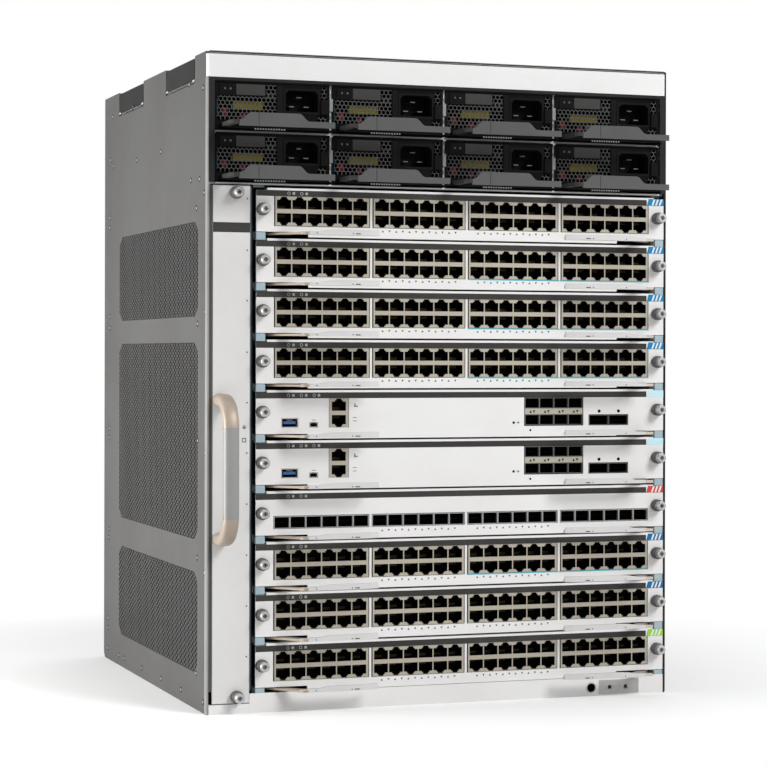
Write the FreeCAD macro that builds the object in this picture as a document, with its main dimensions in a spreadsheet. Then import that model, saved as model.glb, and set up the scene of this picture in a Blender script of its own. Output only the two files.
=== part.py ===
"""Modular chassis switch: a 13 rack unit sheet-metal chassis with eight power supplies in two rows of four,
a side-mounted fan tray, eight line cards and two supervisor cards.

Frame: +X is the width (to the right, seen from the front), -Y is the front, +Z is up, and the origin is the
middle of the base. Lengths are millimetres.
"""
import FreeCAD, Part
import os
import re
import Sketcher

doc = FreeCAD.newDocument("modular_chassis_switch")
sheet = doc.addObject("Spreadsheet::Sheet", "dims")

# Every driving size, written once. Heights above the base end in _low or _top, the rest are lengths.
DIMENSIONS = {
    # chassis
    "chassis_width": 440,
    "chassis_depth": 414,
    "chassis_height": 577,
    "wall": 2,
    "thin_wall": 1.5,
    "fit_gap": 0.3,
    "edge_radius": 1.5,
    "foot_chamfer": 5,
    "midplane_back": 165,
    "board_thickness": 4,
    "connector_depth": 15,
    # side vents
    "vent_setback": 31,
    "vent_field_depth": 319,
    "vent_bridge": 9,
    "vent_pitch": 43.5,
    "vent_slot_height": 36.5,
    "lower_vent_low": 36,
    "middle_vent_low": 150,
    "upper_vent_low": 347,
    # folding carrying handles
    "handle_opening": 107,
    "handle_notch": 24,
    "handle_recess": 18,
    "front_handle_setback": 97.5,
    "handle_spacing": 197.5,
    "handle_plate": 90,
    "handle_pin_radius": 2,
    "handle_lip": 1.5,
    # base sill
    "sill_height": 17,
    "sill_step_height": 8.4,
    "ground_hole_radius": 2.1,
    "ground_hole_spacing": 16,
    "ground_hole_low": 7.2,
    "ground_hole_inset": 48,
    # bezel
    "bezel_height": 20,
    "bezel_depth": 4,
    "bezel_radius": 3.5,
    "bezel_groove": 0.7,
    "bezel_gap": 0.9,
    # power bay
    "bay_recess": 3,
    "power_pitch": 107,
    "power_rise": 45.2,
    "partition": 2,
    "exhaust_slot": 88,
    "exhaust_slot_height": 28,
    # power supply
    "supply_recess": 1,
    "supply_skin": 1.2,
    "grille_width": 54,
    "grille_low": 9,
    "grille_height": 21,
    "grille_tab_width": 10,
    "grille_tab_height": 10,
    "grille_margin": 1.5,
    "inlet_left": 61.7,
    "inlet_low": 16,
    "inlet_width": 34,
    "inlet_height": 22.5,
    "inlet_depth": 24,
    "inlet_rim": 2,
    "inlet_socket": 19,
    "blade_width": 8,
    "blade_thickness": 2,
    "blade_length": 11,
    "blade_spread": 13.5,
    "blade_rise": 8,
    "rocker_left": 4.5,
    "rocker_low": 31,
    "rocker_width": 13,
    "rocker_height": 8.5,
    "latch_width": 7.5,
    "latch_height": 13,
    "latch_depth": 3,
    "supply_lip": 6,
    "supply_lip_height": 2.2,
    # power supply lever
    "lever_reach": 34,
    "lever_pivot_in": 8.2,
    "lever_pivot_radius": 3,
    "lever_bar": 3,
    "lever_height": 3.7,
    "lever_tip": 98.5,
    "lever_corner": 7,
    "tab_left": 21.6,
    "tab_right": 65.3,
    "tab_ramp": 5.7,
    "tab_rise": 6.4,
    "tab_thickness": 2,
    # fan bay and fan tray
    "fan_bay_width": 40.5,
    "divider_window": 240,
    "divider_window_height": 30,
    "tray_plate_left": 5.4,
    "tray_plate_width": 33.4,
    "tray_clearance": 1.1,
    "fan_frame_width": 34.5,
    "fan_rib": 4,
    "fan_hub": 34,
    "fan_blade": 104,
    "fan_depth": 20,
    "fan_strut": 8,
    "grip_width": 14,
    "grip_reach": 40,
    "grip_thickness": 11,
    "grip_low": 147,
    "grip_top": 279,
    "grip_radius": 28,
    # card slots
    "card_inset": 44.4,
    "slot_clearance": 4.4,
    "slot_foot": 13.5,
    "slot_pitch": 44.33,
    "card_drop": 36.5,
    "card_lip_rise": 2,
    "card_lip_depth": 10,
    "guide_width": 12,
    "guide_height": 5.6,
    "guide_recess": 8,
    "screw_radius": 5.5,
    "screw_length": 13,
    "screw_drop": 17,
    "left_screw_inset": 5.3,
    "right_screw_inset": 7.1,
    "card_board_drop": 31.1,
    "sink_size": 120,
    "sink_height": 16,
    "card_connector_width": 260,
    "card_connector_height": 15,
    # socket groups of the copper cards
    "group_inset": 16.2,
    "group_pitch": 91,
    "group_width": 88.8,
    "group_drop": 4.4,
    "group_height": 26.7,
    "socket_wall": 1.6,
    "socket_bar": 4.2,
    "socket_bar_depth": 0.8,
    "socket_depth": 13,
    "housing_depth": 6,
    # cages of the fibre card
    "cage_drop": 19.6,
    "cage_height": 11.5,
    # supervisor sockets
    "usb_left": 23,
    "usb_width": 15.9,
    "usb_height": 8.8,
    "console_left": 48.8,
    "console_width": 8.3,
    "console_height": 5,
    "stack_left": 67,
    "stack_width": 18.6,
    "uplink_inset": 139.7,
    "uplink_width": 58.7,
    "quad_inset": 75.7,
    "quad_width": 40,
    "quad_height": 10.1,
    # card levers
    "ejector_pivot": 15.1,
    "ejector_pivot_back": 8,
    "ejector_pivot_radius": 3.8,
    "ejector_drop": 37,
    "ejector_arm": 2.1,
    "ejector_reach": 23,
    "ejector_grip_depth": 8,
    "ejector_slant": 22.5,
    "ejector_arm_end": 47.6,
    "ejector_length": 107.6,
    "ejector_grip_height": 6.1,
    "ejector_grip_end": 4,
}

# Places that follow from the driving sizes, downwards from the top of the chassis and inwards from a card's end.
FOLLOWING = {
    "bezel_low": "chassis_height - wall - bezel_groove - bezel_height",
    "ceiling_top": "bezel_low - bezel_gap",
    "bay_low": "ceiling_top - thin_wall - 2 * power_rise",
    "tray_plate_top": "bay_low - tray_clearance",
    "slot_top": "bay_low - slot_clearance",
    "card_width": "chassis_width - wall - fit_gap - card_inset",
    "uplink_left": "card_width - uplink_inset",
    "quad_left": "card_width - quad_inset",
}
UP = FreeCAD.Vector(0, 0, 1)
ACROSS = FreeCAD.Vector(1, 0, 0)
FAN_COLUMNS = 3
FAN_ROWS = 3
FAN_BLADES = 4
GROUP_COLUMNS = 6

for row, (name, size) in enumerate(DIMENSIONS.items(), start=1):
    sheet.set(f"A{row}", name)
    sheet.set(f"B{row}", str(size))
    sheet.setAlias(f"B{row}", name)
for row, (name, formula) in enumerate(FOLLOWING.items(), start=1):
    sheet.set(f"C{row}", name)
    sheet.setAlias(f"D{row}", name)
    sheet.set(f"D{row}", f"={formula}")
doc.recompute()

# Slots, supplies and socket groups keep their pitch, so their number follows from the room that there is.
SLOTS = int((sheet.get("slot_top") - DIMENSIONS["slot_foot"]) / DIMENSIONS["slot_pitch"])
SUPPLY_COLUMNS = int((DIMENSIONS["chassis_width"] - 2 * DIMENSIONS["wall"]) / DIMENSIONS["power_pitch"])
GROUPS = int((sheet.get("card_width") - DIMENSIONS["group_inset"]) / DIMENSIONS["group_pitch"])

# Places that several pieces share, as expressions of the sheet's names.
FRONT = "(0 - chassis_depth / 2)"
BACK = "(chassis_depth / 2)"
INNER = "(chassis_width / 2 - wall)"
INSIDE = f"({INNER} - fit_gap)"
MODULE_BACK = "(midplane_back - connector_depth - fit_gap)"
BAY_FRONT = f"({FRONT} + bay_recess)"
DIVIDER_LEFT = "(0 - chassis_width / 2 + fan_bay_width)"
DIVIDER_RIGHT = f"({DIVIDER_LEFT} + thin_wall)"
CARD_LEFT = "(0 - chassis_width / 2 + card_inset)"
CARD_RIGHT = INSIDE
CARD_LOW = "(slot_top - card_drop)"
TRAY_END = "(0 - chassis_width / 2 + tray_plate_left + tray_plate_width + fit_gap)"
FRONT_HANDLE = f"({FRONT} + front_handle_setback)"
REAR_HANDLE = f"({FRONT_HANDLE} + handle_spacing)"


def bound(text):
    """Gives the sheet's own expression for a sum written with its names."""
    names = DIMENSIONS.keys() | FOLLOWING.keys()
    return re.sub(r"[a-z_]+", lambda word: "dims." * (word.group() in names) + word.group(), text)


def block(label, low, size):
    """Adds a rectangular block by its low corner and its size along X, Y and Z."""
    box = doc.addObject("Part::Box", label)
    for axis, text in zip("xyz", low):
        box.setExpression(f".Placement.Base.{axis}", bound(text))
    for side, text in zip(("Length", "Width", "Height"), size):
        box.setExpression(side, bound(text))
    return box


def new_body(label):
    """Adds an empty body."""
    return doc.addObject("PartDesign::Body", label)


def new_sketch(body, role, offset="0"):
    """Adds a sketch on one of the body's origin planes, moved along the plane's normal."""
    sketch = body.newObject("Sketcher::SketchObject", f"{body.Label}_sketch")
    plane = next(item for item in body.Origin.OriginFeatures if item.Role == role)
    sketch.AttachmentSupport = [(plane, "")]
    sketch.MapMode = "FlatFace"
    sketch.setExpression(".AttachmentOffset.Base.z", bound(offset))
    return sketch


def tie(sketch, kind, *where, to):
    """Adds one dimension to the sketch, bound to the sheet."""
    index = sketch.addConstraint(Sketcher.Constraint(kind, *where, 1.0))
    sketch.setExpression(f"Constraints[{index}]", bound(to))


def outline(sketch, corners):
    """Draws a closed outline of straight lines, each corner tied to the sheet from the sketch's origin."""
    first = sketch.GeometryCount
    count = len(corners)
    spots = [FreeCAD.Vector(index, (index * (count - index)) % count + 0.1 * index) for index in range(count)]
    for index in range(count):
        sketch.addGeometry(Part.LineSegment(spots[index], spots[(index + 1) % count]), False)
    for index in range(count):
        following = first + (index + 1) % count
        sketch.addConstraint(Sketcher.Constraint("Coincident", first + index, 2, following, 1))
    for index, (across, along) in enumerate(corners):
        tie(sketch, "DistanceX", -1, 1, first + index, 1, to=across)
        tie(sketch, "DistanceY", -1, 1, first + index, 1, to=along)


def rectangle(sketch, left, low, width, height):
    """Draws a rectangle by its low left corner and its size."""
    right = f"{left} + {width}"
    top = f"{low} + {height}"
    outline(sketch, [(left, low), (right, low), (right, top), (left, top)])


def circle(sketch, across, along, radius):
    """Draws a circle by its middle and radius."""
    index = sketch.addGeometry(Part.Circle(FreeCAD.Vector(1, 1, 0), FreeCAD.Vector(0, 0, 1), 1.0), False)
    tie(sketch, "DistanceX", -1, 1, index, 3, to=across)
    tie(sketch, "DistanceY", -1, 1, index, 3, to=along)
    tie(sketch, "Radius", index, to=radius)


def pad(body, sketch, length, against=False):
    """Pads a sketch along its plane's normal, or against it."""
    feature = body.newObject("PartDesign::Pad", f"{body.Label}_pad")
    feature.Profile = sketch
    feature.setExpression("Length", bound(length))
    feature.Reversed = against
    return feature


def pocket(body, sketch, depth, against=False):
    """Cuts a sketch against its plane's normal, or along it."""
    feature = body.newObject("PartDesign::Pocket", f"{body.Label}_pocket")
    feature.Profile = sketch
    feature.setExpression("Length", bound(depth))
    feature.Reversed = against
    return feature


def grid(body, feature, across, along=None):
    """Repeats a feature along its sketch's axes. Each of across and along is a count and a pitch."""
    sketch = feature.Profile[0]
    pattern = body.newObject("PartDesign::LinearPattern", f"{body.Label}_grid")
    pattern.Originals = [feature]
    pattern.Direction = (sketch, ["H_Axis"])
    pattern.Mode = "Extent"
    pattern.setExpression("Length", bound(f"{across[0] - 1} * {across[1]}"))
    pattern.Occurrences = across[0]
    if along:
        pattern.Direction2 = (sketch, ["V_Axis"])
        pattern.Mode2 = "Extent"
        pattern.setExpression("Length2", bound(f"{along[0] - 1} * {along[1]}"))
        pattern.Occurrences2 = along[0]
    body.Tip = pattern
    return pattern


def spread(body, feature, near, far):
    """Repeats a feature twice along its sketch's horizontal axis. Each of near and far is a count and a pitch."""
    pattern = grid(body, feature, near)
    pattern.Direction2 = (feature.Profile[0], ["H_Axis"])
    pattern.Mode2 = "Extent"
    pattern.setExpression("Length2", bound(f"{far[0] - 1} * {far[1]}"))
    pattern.Occurrences2 = far[0]


def stack(body, feature, count, pitch, downward=False):
    """Repeats a feature up, or down, its sketch's vertical axis."""
    pattern = body.newObject("PartDesign::LinearPattern", f"{body.Label}_stack")
    pattern.Originals = [feature]
    pattern.Direction = (feature.Profile[0], ["V_Axis"])
    pattern.Mode = "Extent"
    pattern.setExpression("Length", bound(f"{count - 1} * {pitch}"))
    pattern.Occurrences = count
    pattern.Reversed = downward
    body.Tip = pattern
    return pattern


def edges_where(shape, axis, test):
    """Names the straight edges along an axis whose end points pass a test."""
    names = []
    for number, edge in enumerate(shape.Edges, start=1):
        ends = [vertex.Point for vertex in edge.Vertexes]
        if len(ends) == 2 and (ends[1] - ends[0]).cross(axis).Length < 0.01 and all(test(end) for end in ends):
            names.append(f"Edge{number}")
    return names


def round_edges(body, feature, axis, test, radius):
    """Rounds the edges of a feature that run along an axis and whose end points pass a test."""
    doc.recompute()
    fillet = body.newObject("PartDesign::Fillet", f"{body.Label}_fillet")
    fillet.Base = (feature, edges_where(feature.Shape, axis, test))
    fillet.setExpression("Radius", bound(radius))
    return fillet


def group(label, pieces):
    """Gathers separate solids that are carried together."""
    compound = doc.addObject("Part::Compound", label)
    compound.Links = pieces
    return compound


def mirrored(label, source, plane_x="0"):
    """Mirrors a piece across an upright plane that faces along X."""
    twin = doc.addObject("Part::Mirroring", label)
    twin.Source = source
    twin.Normal = FreeCAD.Vector(1, 0, 0)
    twin.setExpression(".Base.x", bound(plane_x))
    return twin


def placed(label, pieces, right="0", down="0"):
    """Places a copy of some pieces further right and further down."""
    copy = group(label, pieces)
    copy.setExpression(".Placement.Base.x", bound(right))
    copy.setExpression(".Placement.Base.z", bound(f"0 - {down}"))
    return copy


# ---------------------------------------------------------------- chassis

def side_panel(label):
    """Left side panel: notched for the bezel and two handles, with three fields of air slots."""
    body = new_body(label)
    profile = new_sketch(body, "YZ_Plane", "0 - chassis_width / 2")
    bezel_back = f"{FRONT} + bezel_depth + fit_gap"
    notch = "chassis_height - handle_notch"
    corners = [(FRONT, "0"), (FRONT, "bezel_low - fit_gap"), (bezel_back, "bezel_low - fit_gap")]
    corners += [(bezel_back, "chassis_height")]
    for middle in (FRONT_HANDLE, REAR_HANDLE):
        near = f"{middle} - handle_opening / 2"
        far = f"{middle} + handle_opening / 2"
        corners += [(near, "chassis_height"), (near, notch), (far, notch), (far, "chassis_height")]
    corners += [(BACK, "chassis_height"), (BACK, "foot_chamfer"), (f"{BACK} - foot_chamfer", "0")]
    outline(profile, corners)
    plate = pad(body, profile, "wall")
    outer = -DIMENSIONS["chassis_width"] / 2
    front = -DIMENSIONS["chassis_depth"] / 2
    rounded = round_edges(
        body, plate, UP, lambda end: abs(end.x - outer) < 0.01 and abs(end.y - front) < 0.01, "edge_radius"
    )
    body.Tip = rounded
    slot_length = "(vent_field_depth - vent_bridge) / 2"
    for low, rows in (("lower_vent_low", 2), ("middle_vent_low", 4), ("upper_vent_low", 2)):
        slot = new_sketch(body, "YZ_Plane", "0 - chassis_width / 2 + wall")
        rectangle(slot, f"{FRONT} + vent_setback", low, slot_length, "vent_slot_height")
        cut = pocket(body, slot, "wall")
        grid(body, cut, (2, "(vent_field_depth + vent_bridge) / 2"), (rows, "vent_pitch"))
    return body


def top_cover():
    """Cover sheet with four recess pans for the carrying handles, each open at the side and at the top."""
    body = new_body("top_cover")
    plate = new_sketch(body, "XY_Plane", "chassis_height - wall")
    rectangle(plate, f"0 - {INSIDE}", FRONT, f"2 * {INSIDE}", "chassis_depth")
    pad(body, plate, "wall")
    pans = new_sketch(body, "XY_Plane", "ceiling_top + fit_gap")
    mouths = new_sketch(body, "XY_Plane", "chassis_height")
    pan_depth = "(handle_recess - fit_gap + thin_wall)"
    for middle in (FRONT_HANDLE, REAR_HANDLE):
        pan_near = f"{middle} - handle_opening / 2 - thin_wall"
        mouth_near = f"{middle} - handle_opening / 2"
        for pan_left, mouth_left in (
            (f"0 - {INSIDE}", f"0 - {INNER} - wall"),
            (f"{INSIDE} - {pan_depth}", f"{INNER} - handle_recess"),
        ):
            rectangle(pans, pan_left, pan_near, pan_depth, "handle_opening + 2 * thin_wall")
            rectangle(mouths, mouth_left, mouth_near, "handle_recess + wall", "handle_opening")
    pad(body, pans, "chassis_height - wall / 2 - ceiling_top - fit_gap")
    pocket(body, mouths, "chassis_height - ceiling_top")
    return body


def base_pan():
    """Base sheet with the front sill, which steps down at the fan tray, the tray's rest and the earthing holes."""
    body = new_body("base_pan")
    floor = new_sketch(body, "XY_Plane")
    rectangle(floor, f"0 - {INSIDE}", FRONT, f"2 * {INSIDE}", "chassis_depth")
    pad(body, floor, "wall")
    rest = new_sketch(body, "XY_Plane", "wall")
    rectangle(rest, f"0 - {INSIDE}", FRONT, f"{TRAY_END} + {INSIDE}", f"{MODULE_BACK} - {FRONT}")
    pad(body, rest, "sill_step_height - wall")
    sill = new_sketch(body, "XZ_Plane", "chassis_depth / 2")
    corners = [(f"0 - {INSIDE}", "0"), (INSIDE, "0"), (INSIDE, "sill_height"), (TRAY_END, "sill_height")]
    corners += [(TRAY_END, "sill_step_height"), (f"0 - {INSIDE}", "sill_step_height")]
    outline(sill, corners)
    pad(body, sill, "wall", against=True)
    holes = new_sketch(body, "XZ_Plane", "chassis_depth / 2")
    middle = "chassis_width / 2 - ground_hole_inset"
    circle(holes, f"{middle} - ground_hole_spacing / 2", "ground_hole_low", "ground_hole_radius")
    circle(holes, f"{middle} + ground_hole_spacing / 2", "ground_hole_low", "ground_hole_radius")
    pocket(body, holes, "wall")
    return body


def rear_panel():
    """Rear sheet, with the power supplies' air outlets."""
    body = new_body("rear_panel")
    plate = new_sketch(body, "XZ_Plane", f"0 - {BACK}")
    rectangle(plate, f"0 - {INSIDE}", "wall + fit_gap", f"2 * {INSIDE}", "chassis_height - 2 * wall - 2 * fit_gap")
    pad(body, plate, "wall")
    slots = new_sketch(body, "XZ_Plane", f"wall - {BACK}")
    low = "bay_low + power_rise / 2 - exhaust_slot_height / 2"
    left = f"0 - {(SUPPLY_COLUMNS - 1) / 2} * power_pitch - exhaust_slot / 2"
    rectangle(slots, left, low, "exhaust_slot", "exhaust_slot_height")
    cut = pocket(body, slots, "wall")
    grid(body, cut, (SUPPLY_COLUMNS, "power_pitch"), (2, "power_rise"))
    return body


def top_bezel():
    """Front bezel over the power bay, hollow behind and rounded at both ends."""
    body = new_body("top_bezel")
    face = new_sketch(body, "XZ_Plane", "chassis_depth / 2")
    rectangle(face, "0 - chassis_width / 2", "bezel_low", "chassis_width", "bezel_height")
    shell = pad(body, face, "bezel_depth", against=True)
    front = -DIMENSIONS["chassis_depth"] / 2
    side = DIMENSIONS["chassis_width"] / 2
    rounded = round_edges(
        body, shell, UP, lambda end: abs(end.y - front) < 0.01 and abs(abs(end.x) - side) < 0.01, "bezel_radius"
    )
    body.Tip = rounded
    hollow = new_sketch(body, "XZ_Plane", "chassis_depth / 2 - bezel_depth")
    inset = "(bezel_radius + thin_wall)"
    rectangle(
        hollow,
        f"0 - chassis_width / 2 + {inset}",
        "bezel_low + thin_wall",
        f"chassis_width - 2 * {inset}",
        "bezel_height - 2 * thin_wall",
    )
    pocket(body, hollow, "bezel_depth - thin_wall", against=True)
    return body


def power_bay_frame():
    """Three shelves, the partitions between the supplies and the liners at both ends."""
    pieces = []
    depth = f"midplane_back - fit_gap - {BAY_FRONT}"
    for number, name in enumerate(("floor", "shelf", "ceiling")):
        low = (f"0 - {INSIDE}", BAY_FRONT, f"bay_low + {number} * power_rise")
        pieces.append(block(f"power_bay_{name}", low, (f"2 * {INSIDE}", depth, "thin_wall")))
    half_row = f"{SUPPLY_COLUMNS / 2} * power_pitch"
    liner = f"({INSIDE} - {half_row} + partition / 2)"
    for number in range(2):
        low = f"bay_low + {number} * power_rise + thin_wall"
        height = "power_rise - thin_wall"
        for column in range(1, SUPPLY_COLUMNS):
            left = f"{column} * power_pitch - {half_row} - partition / 2"
            pieces.append(block("partition_wall", (left, BAY_FRONT, low), ("partition", depth, height)))
        for left in (f"0 - {INSIDE}", f"{INSIDE} - {liner}"):
            pieces.append(block("power_bay_liner", (left, BAY_FRONT, low), (liner, depth, height)))
    return group("power_bay_frame", pieces)


def fan_bay_divider():
    """Upright wall between the fan tray and the cards, with an air window at each slot."""
    body = new_body("fan_bay_divider")
    plate = new_sketch(body, "YZ_Plane", DIVIDER_LEFT)
    near = f"{FRONT} + wall + fit_gap"
    rectangle(plate, near, "wall", f"midplane_back - fit_gap - {FRONT} - wall - fit_gap", "bay_low - wall")
    pad(body, plate, "thin_wall")
    window = new_sketch(body, "YZ_Plane", DIVIDER_RIGHT)
    low = "slot_top - card_drop / 2 - divider_window_height / 2"
    rectangle(window, "0 - divider_window / 2 - fan_bay_width / 2", low, "divider_window", "divider_window_height")
    cut = pocket(body, window, "thin_wall")
    stack(body, cut, SLOTS, "slot_pitch", downward=True)
    return body


def card_guides():
    """Guide rails, one pair under each card and a thinner pair above the first."""
    body = new_body("card_guides")
    rails = new_sketch(body, "XZ_Plane", "chassis_depth / 2 - guide_recess")
    top_rails = new_sketch(body, "XZ_Plane", "chassis_depth / 2 - guide_recess")
    right = f"{INNER} + {CARD_LEFT} - {DIVIDER_RIGHT} - guide_width"
    for left, width in ((DIVIDER_RIGHT, "guide_width"), (right, f"guide_width + {DIVIDER_RIGHT} - {CARD_LEFT}")):
        rectangle(rails, left, f"{CARD_LOW} - guide_height", width, "guide_height")
        rectangle(top_rails, left, "bay_low - guide_height / 3", width, "guide_height / 3")
    length = f"{MODULE_BACK} - {FRONT} - guide_recess"
    first = pad(body, rails, length, against=True)
    stack(body, first, SLOTS, "slot_pitch", downward=True)
    pad(body, top_rails, length, against=True)
    return body


def backplane():
    """Card backplane and power board, with the sockets that the modules plug into."""
    left = f"{DIVIDER_RIGHT} + fit_gap"
    board = block(
        "backplane_board",
        (left, "midplane_back", "wall + fit_gap"),
        (f"{INSIDE} - {DIVIDER_RIGHT} - fit_gap", "board_thickness", "bay_low - wall - 2 * fit_gap"),
    )
    power_board = block(
        "power_board",
        (f"0 - {INSIDE}", "midplane_back", "bay_low"),
        (f"2 * {INSIDE}", "board_thickness", "2 * power_rise + thin_wall"),
    )
    sockets = new_body("backplane_sockets")
    outlines = new_sketch(sockets, "XZ_Plane", "0 - midplane_back")
    middle = f"({CARD_LEFT} + {CARD_RIGHT}) / 2"
    rectangle(
        outlines,
        f"{middle} - card_connector_width / 2",
        "slot_top - card_board_drop",
        "card_connector_width",
        "card_connector_height",
    )
    first = pad(sockets, outlines, "connector_depth")
    stack(sockets, first, SLOTS, "slot_pitch", downward=True)
    return group("backplane", [board, power_board, sockets])


# ---------------------------------------------------------------- carrying handles

def carry_handles(label):
    """Pair of folding handles on one hinge line: a plate with an outward lip, hung from a long pin."""
    body = new_body(label)
    pin_x = f"(0 - {INNER} + handle_pin_radius - wall / 2 + fit_gap)"
    pin_z = "(chassis_height - handle_pin_radius - fit_gap - wall / 2)"
    plate_low = "(chassis_height - handle_notch + wall)"
    plate = new_sketch(body, "XZ_Plane", f"0 - {FRONT_HANDLE} + handle_plate / 2")
    outer = f"{pin_x} - wall / 2"
    inner = f"{pin_x} + wall / 2"
    lip = "0 - chassis_width / 2"
    corners = [(lip, plate_low), (inner, plate_low), (inner, pin_z), (outer, pin_z)]
    corners += [(outer, f"{plate_low} + handle_lip"), (lip, f"{plate_low} + handle_lip")]
    outline(plate, corners)
    first = pad(body, plate, "handle_plate", against=True)
    pin = new_sketch(body, "XZ_Plane", f"0 - {FRONT_HANDLE} + handle_opening / 2 - fit_gap")
    circle(pin, pin_x, pin_z, "handle_pin_radius")
    second = pad(body, pin, "handle_opening - 2 * fit_gap", against=True)
    pattern = body.newObject("PartDesign::LinearPattern", f"{label}_pair")
    pattern.Originals = [first, second]
    pattern.Direction = (plate, ["N_Axis"])
    pattern.Mode = "Extent"
    pattern.setExpression("Length", bound("handle_spacing"))
    pattern.Occurrences = 2
    pattern.Reversed = True
    body.Tip = pattern
    return body


# ---------------------------------------------------------------- fan tray

def fan_tray():
    """Fan tray: faceplate, fan frame with its struts, its rotors and two captive screws."""
    plate_left = "(0 - chassis_width / 2 + tray_plate_left)"
    plate = new_body("fan_tray_faceplate")
    face = new_sketch(plate, "XZ_Plane", "chassis_depth / 2")
    low = "(sill_step_height + 2 * fit_gap)"
    rectangle(face, plate_left, low, "tray_plate_width", f"tray_plate_top - {low}")
    pad(plate, face, "wall", against=True)

    frame_left = f"({DIVIDER_LEFT} - wall - fan_frame_width)"
    frame_low = "(sill_step_height + fit_gap)"
    frame_near = f"({FRONT} + wall)"
    frame_depth = f"({MODULE_BACK} - {frame_near})"
    frame_height = f"(bay_low - {frame_low} - fit_gap)"
    cell = f"(({frame_depth} - fan_rib) / {FAN_COLUMNS})"
    storey = f"(({frame_height} - fan_rib) / {FAN_ROWS})"
    frame = new_body("fan_frame")
    ring = new_sketch(frame, "YZ_Plane", frame_left)
    rectangle(ring, frame_near, frame_low, frame_depth, frame_height)
    pad(frame, ring, "fan_frame_width")
    window = new_sketch(frame, "YZ_Plane", f"{frame_left} + fan_frame_width")
    rectangle(
        window, f"{frame_near} + fan_rib", f"{frame_low} + fan_rib", f"{cell} - fan_rib", f"{storey} - fan_rib"
    )
    opening = pocket(frame, window, "fan_frame_width")
    grid(frame, opening, (FAN_COLUMNS, cell), (FAN_ROWS, storey))
    strut = new_sketch(frame, "YZ_Plane", f"{frame_left} + fan_frame_width - wall")
    middle = f"({frame_near} + fan_rib / 2 + {cell} / 2)"
    rectangle(strut, f"{middle} - fan_strut / 2", f"{frame_low} + fan_rib / 2", "fan_strut", f"{FAN_ROWS} * {storey}")
    upright = pad(frame, strut, "wall")
    grid(frame, upright, (FAN_COLUMNS, cell))

    rotors = new_body("fan_rotors")
    star = new_sketch(rotors, "YZ_Plane", f"{frame_left} + fan_frame_width - wall")
    height = f"({frame_low} + fan_rib / 2 + {storey} / 2)"
    corners = []
    for number in range(FAN_BLADES):
        for radius, turn in (("fan_hub", -36), ("fan_blade", -12), ("fan_blade", 12), ("fan_hub", 36)):
            angle = f"({360 / FAN_BLADES * number + turn} deg)"
            corners.append((f"{middle} + {radius} / 2 * cos{angle}", f"{height} + {radius} / 2 * sin{angle}"))
    outline(star, corners)
    rotor = pad(rotors, star, "fan_depth", against=True)
    grid(rotors, rotor, (FAN_COLUMNS, cell), (FAN_ROWS, storey))

    screws = []
    for drop in ("tray_plate_top - 6.4", "sill_step_height + 6.2"):
        screws.append(thumbscrew(f"{plate_left} + 0.61 * tray_plate_width", drop))
    return group("fan_tray", [plate, frame, rotors] + screws)


def fan_tray_handle():
    """Bow handle of the fan tray, bent from one flat bar."""
    body = new_body("fan_tray_handle")
    plate_left = "(0 - chassis_width / 2 + tray_plate_left)"
    bow = new_sketch(body, "YZ_Plane", plate_left)
    reach = f"({FRONT} - grip_reach)"
    inner_low = "grip_low + grip_thickness"
    inner_top = "grip_top - grip_thickness"
    corners = [(FRONT, "grip_low"), (reach, "grip_low"), (reach, "grip_top"), (FRONT, "grip_top")]
    corners += [(FRONT, inner_top), (f"{reach} + grip_thickness", inner_top)]
    corners += [(f"{reach} + grip_thickness", inner_low), (FRONT, inner_low)]
    outline(bow, corners)
    bar = pad(body, bow, "grip_width")
    outer_y = -DIMENSIONS["chassis_depth"] / 2 - DIMENSIONS["grip_reach"]
    inner_y = outer_y + DIMENSIONS["grip_thickness"]
    rounded = round_edges(body, bar, ACROSS, lambda end: abs(end.y - outer_y) < 0.01, "grip_radius")
    softened = round_edges(
        body, rounded, ACROSS, lambda end: abs(end.y - inner_y) < 0.01, "grip_radius - grip_thickness"
    )
    body.Tip = softened
    return body


def thumbscrew(across, height):
    """Captive thumbscrew head, proud of a faceplate."""
    screw = doc.addObject("Part::Prism", "thumbscrew")
    screw.Polygon = 6
    screw.setExpression("Circumradius", bound("screw_radius"))
    screw.setExpression("Height", bound("screw_length"))
    screw.Placement.Rotation = FreeCAD.Rotation(ACROSS, 90)
    screw.setExpression(".Placement.Base.x", bound(across))
    screw.setExpression(".Placement.Base.y", bound(FRONT))
    screw.setExpression(".Placement.Base.z", bound(height))
    return screw


# ---------------------------------------------------------------- power supplies

SUPPLY_LEFT = f"(partition / 2 + fit_gap - {SUPPLY_COLUMNS / 2} * power_pitch)"
SUPPLY_WIDTH = "(power_pitch - partition - 2 * fit_gap)"
SUPPLY_LOW = "(bay_low + thin_wall + fit_gap)"
SUPPLY_HEIGHT = "(power_rise - thin_wall - 2 * fit_gap)"
SUPPLY_FACE = f"({FRONT} + supply_recess)"


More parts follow.
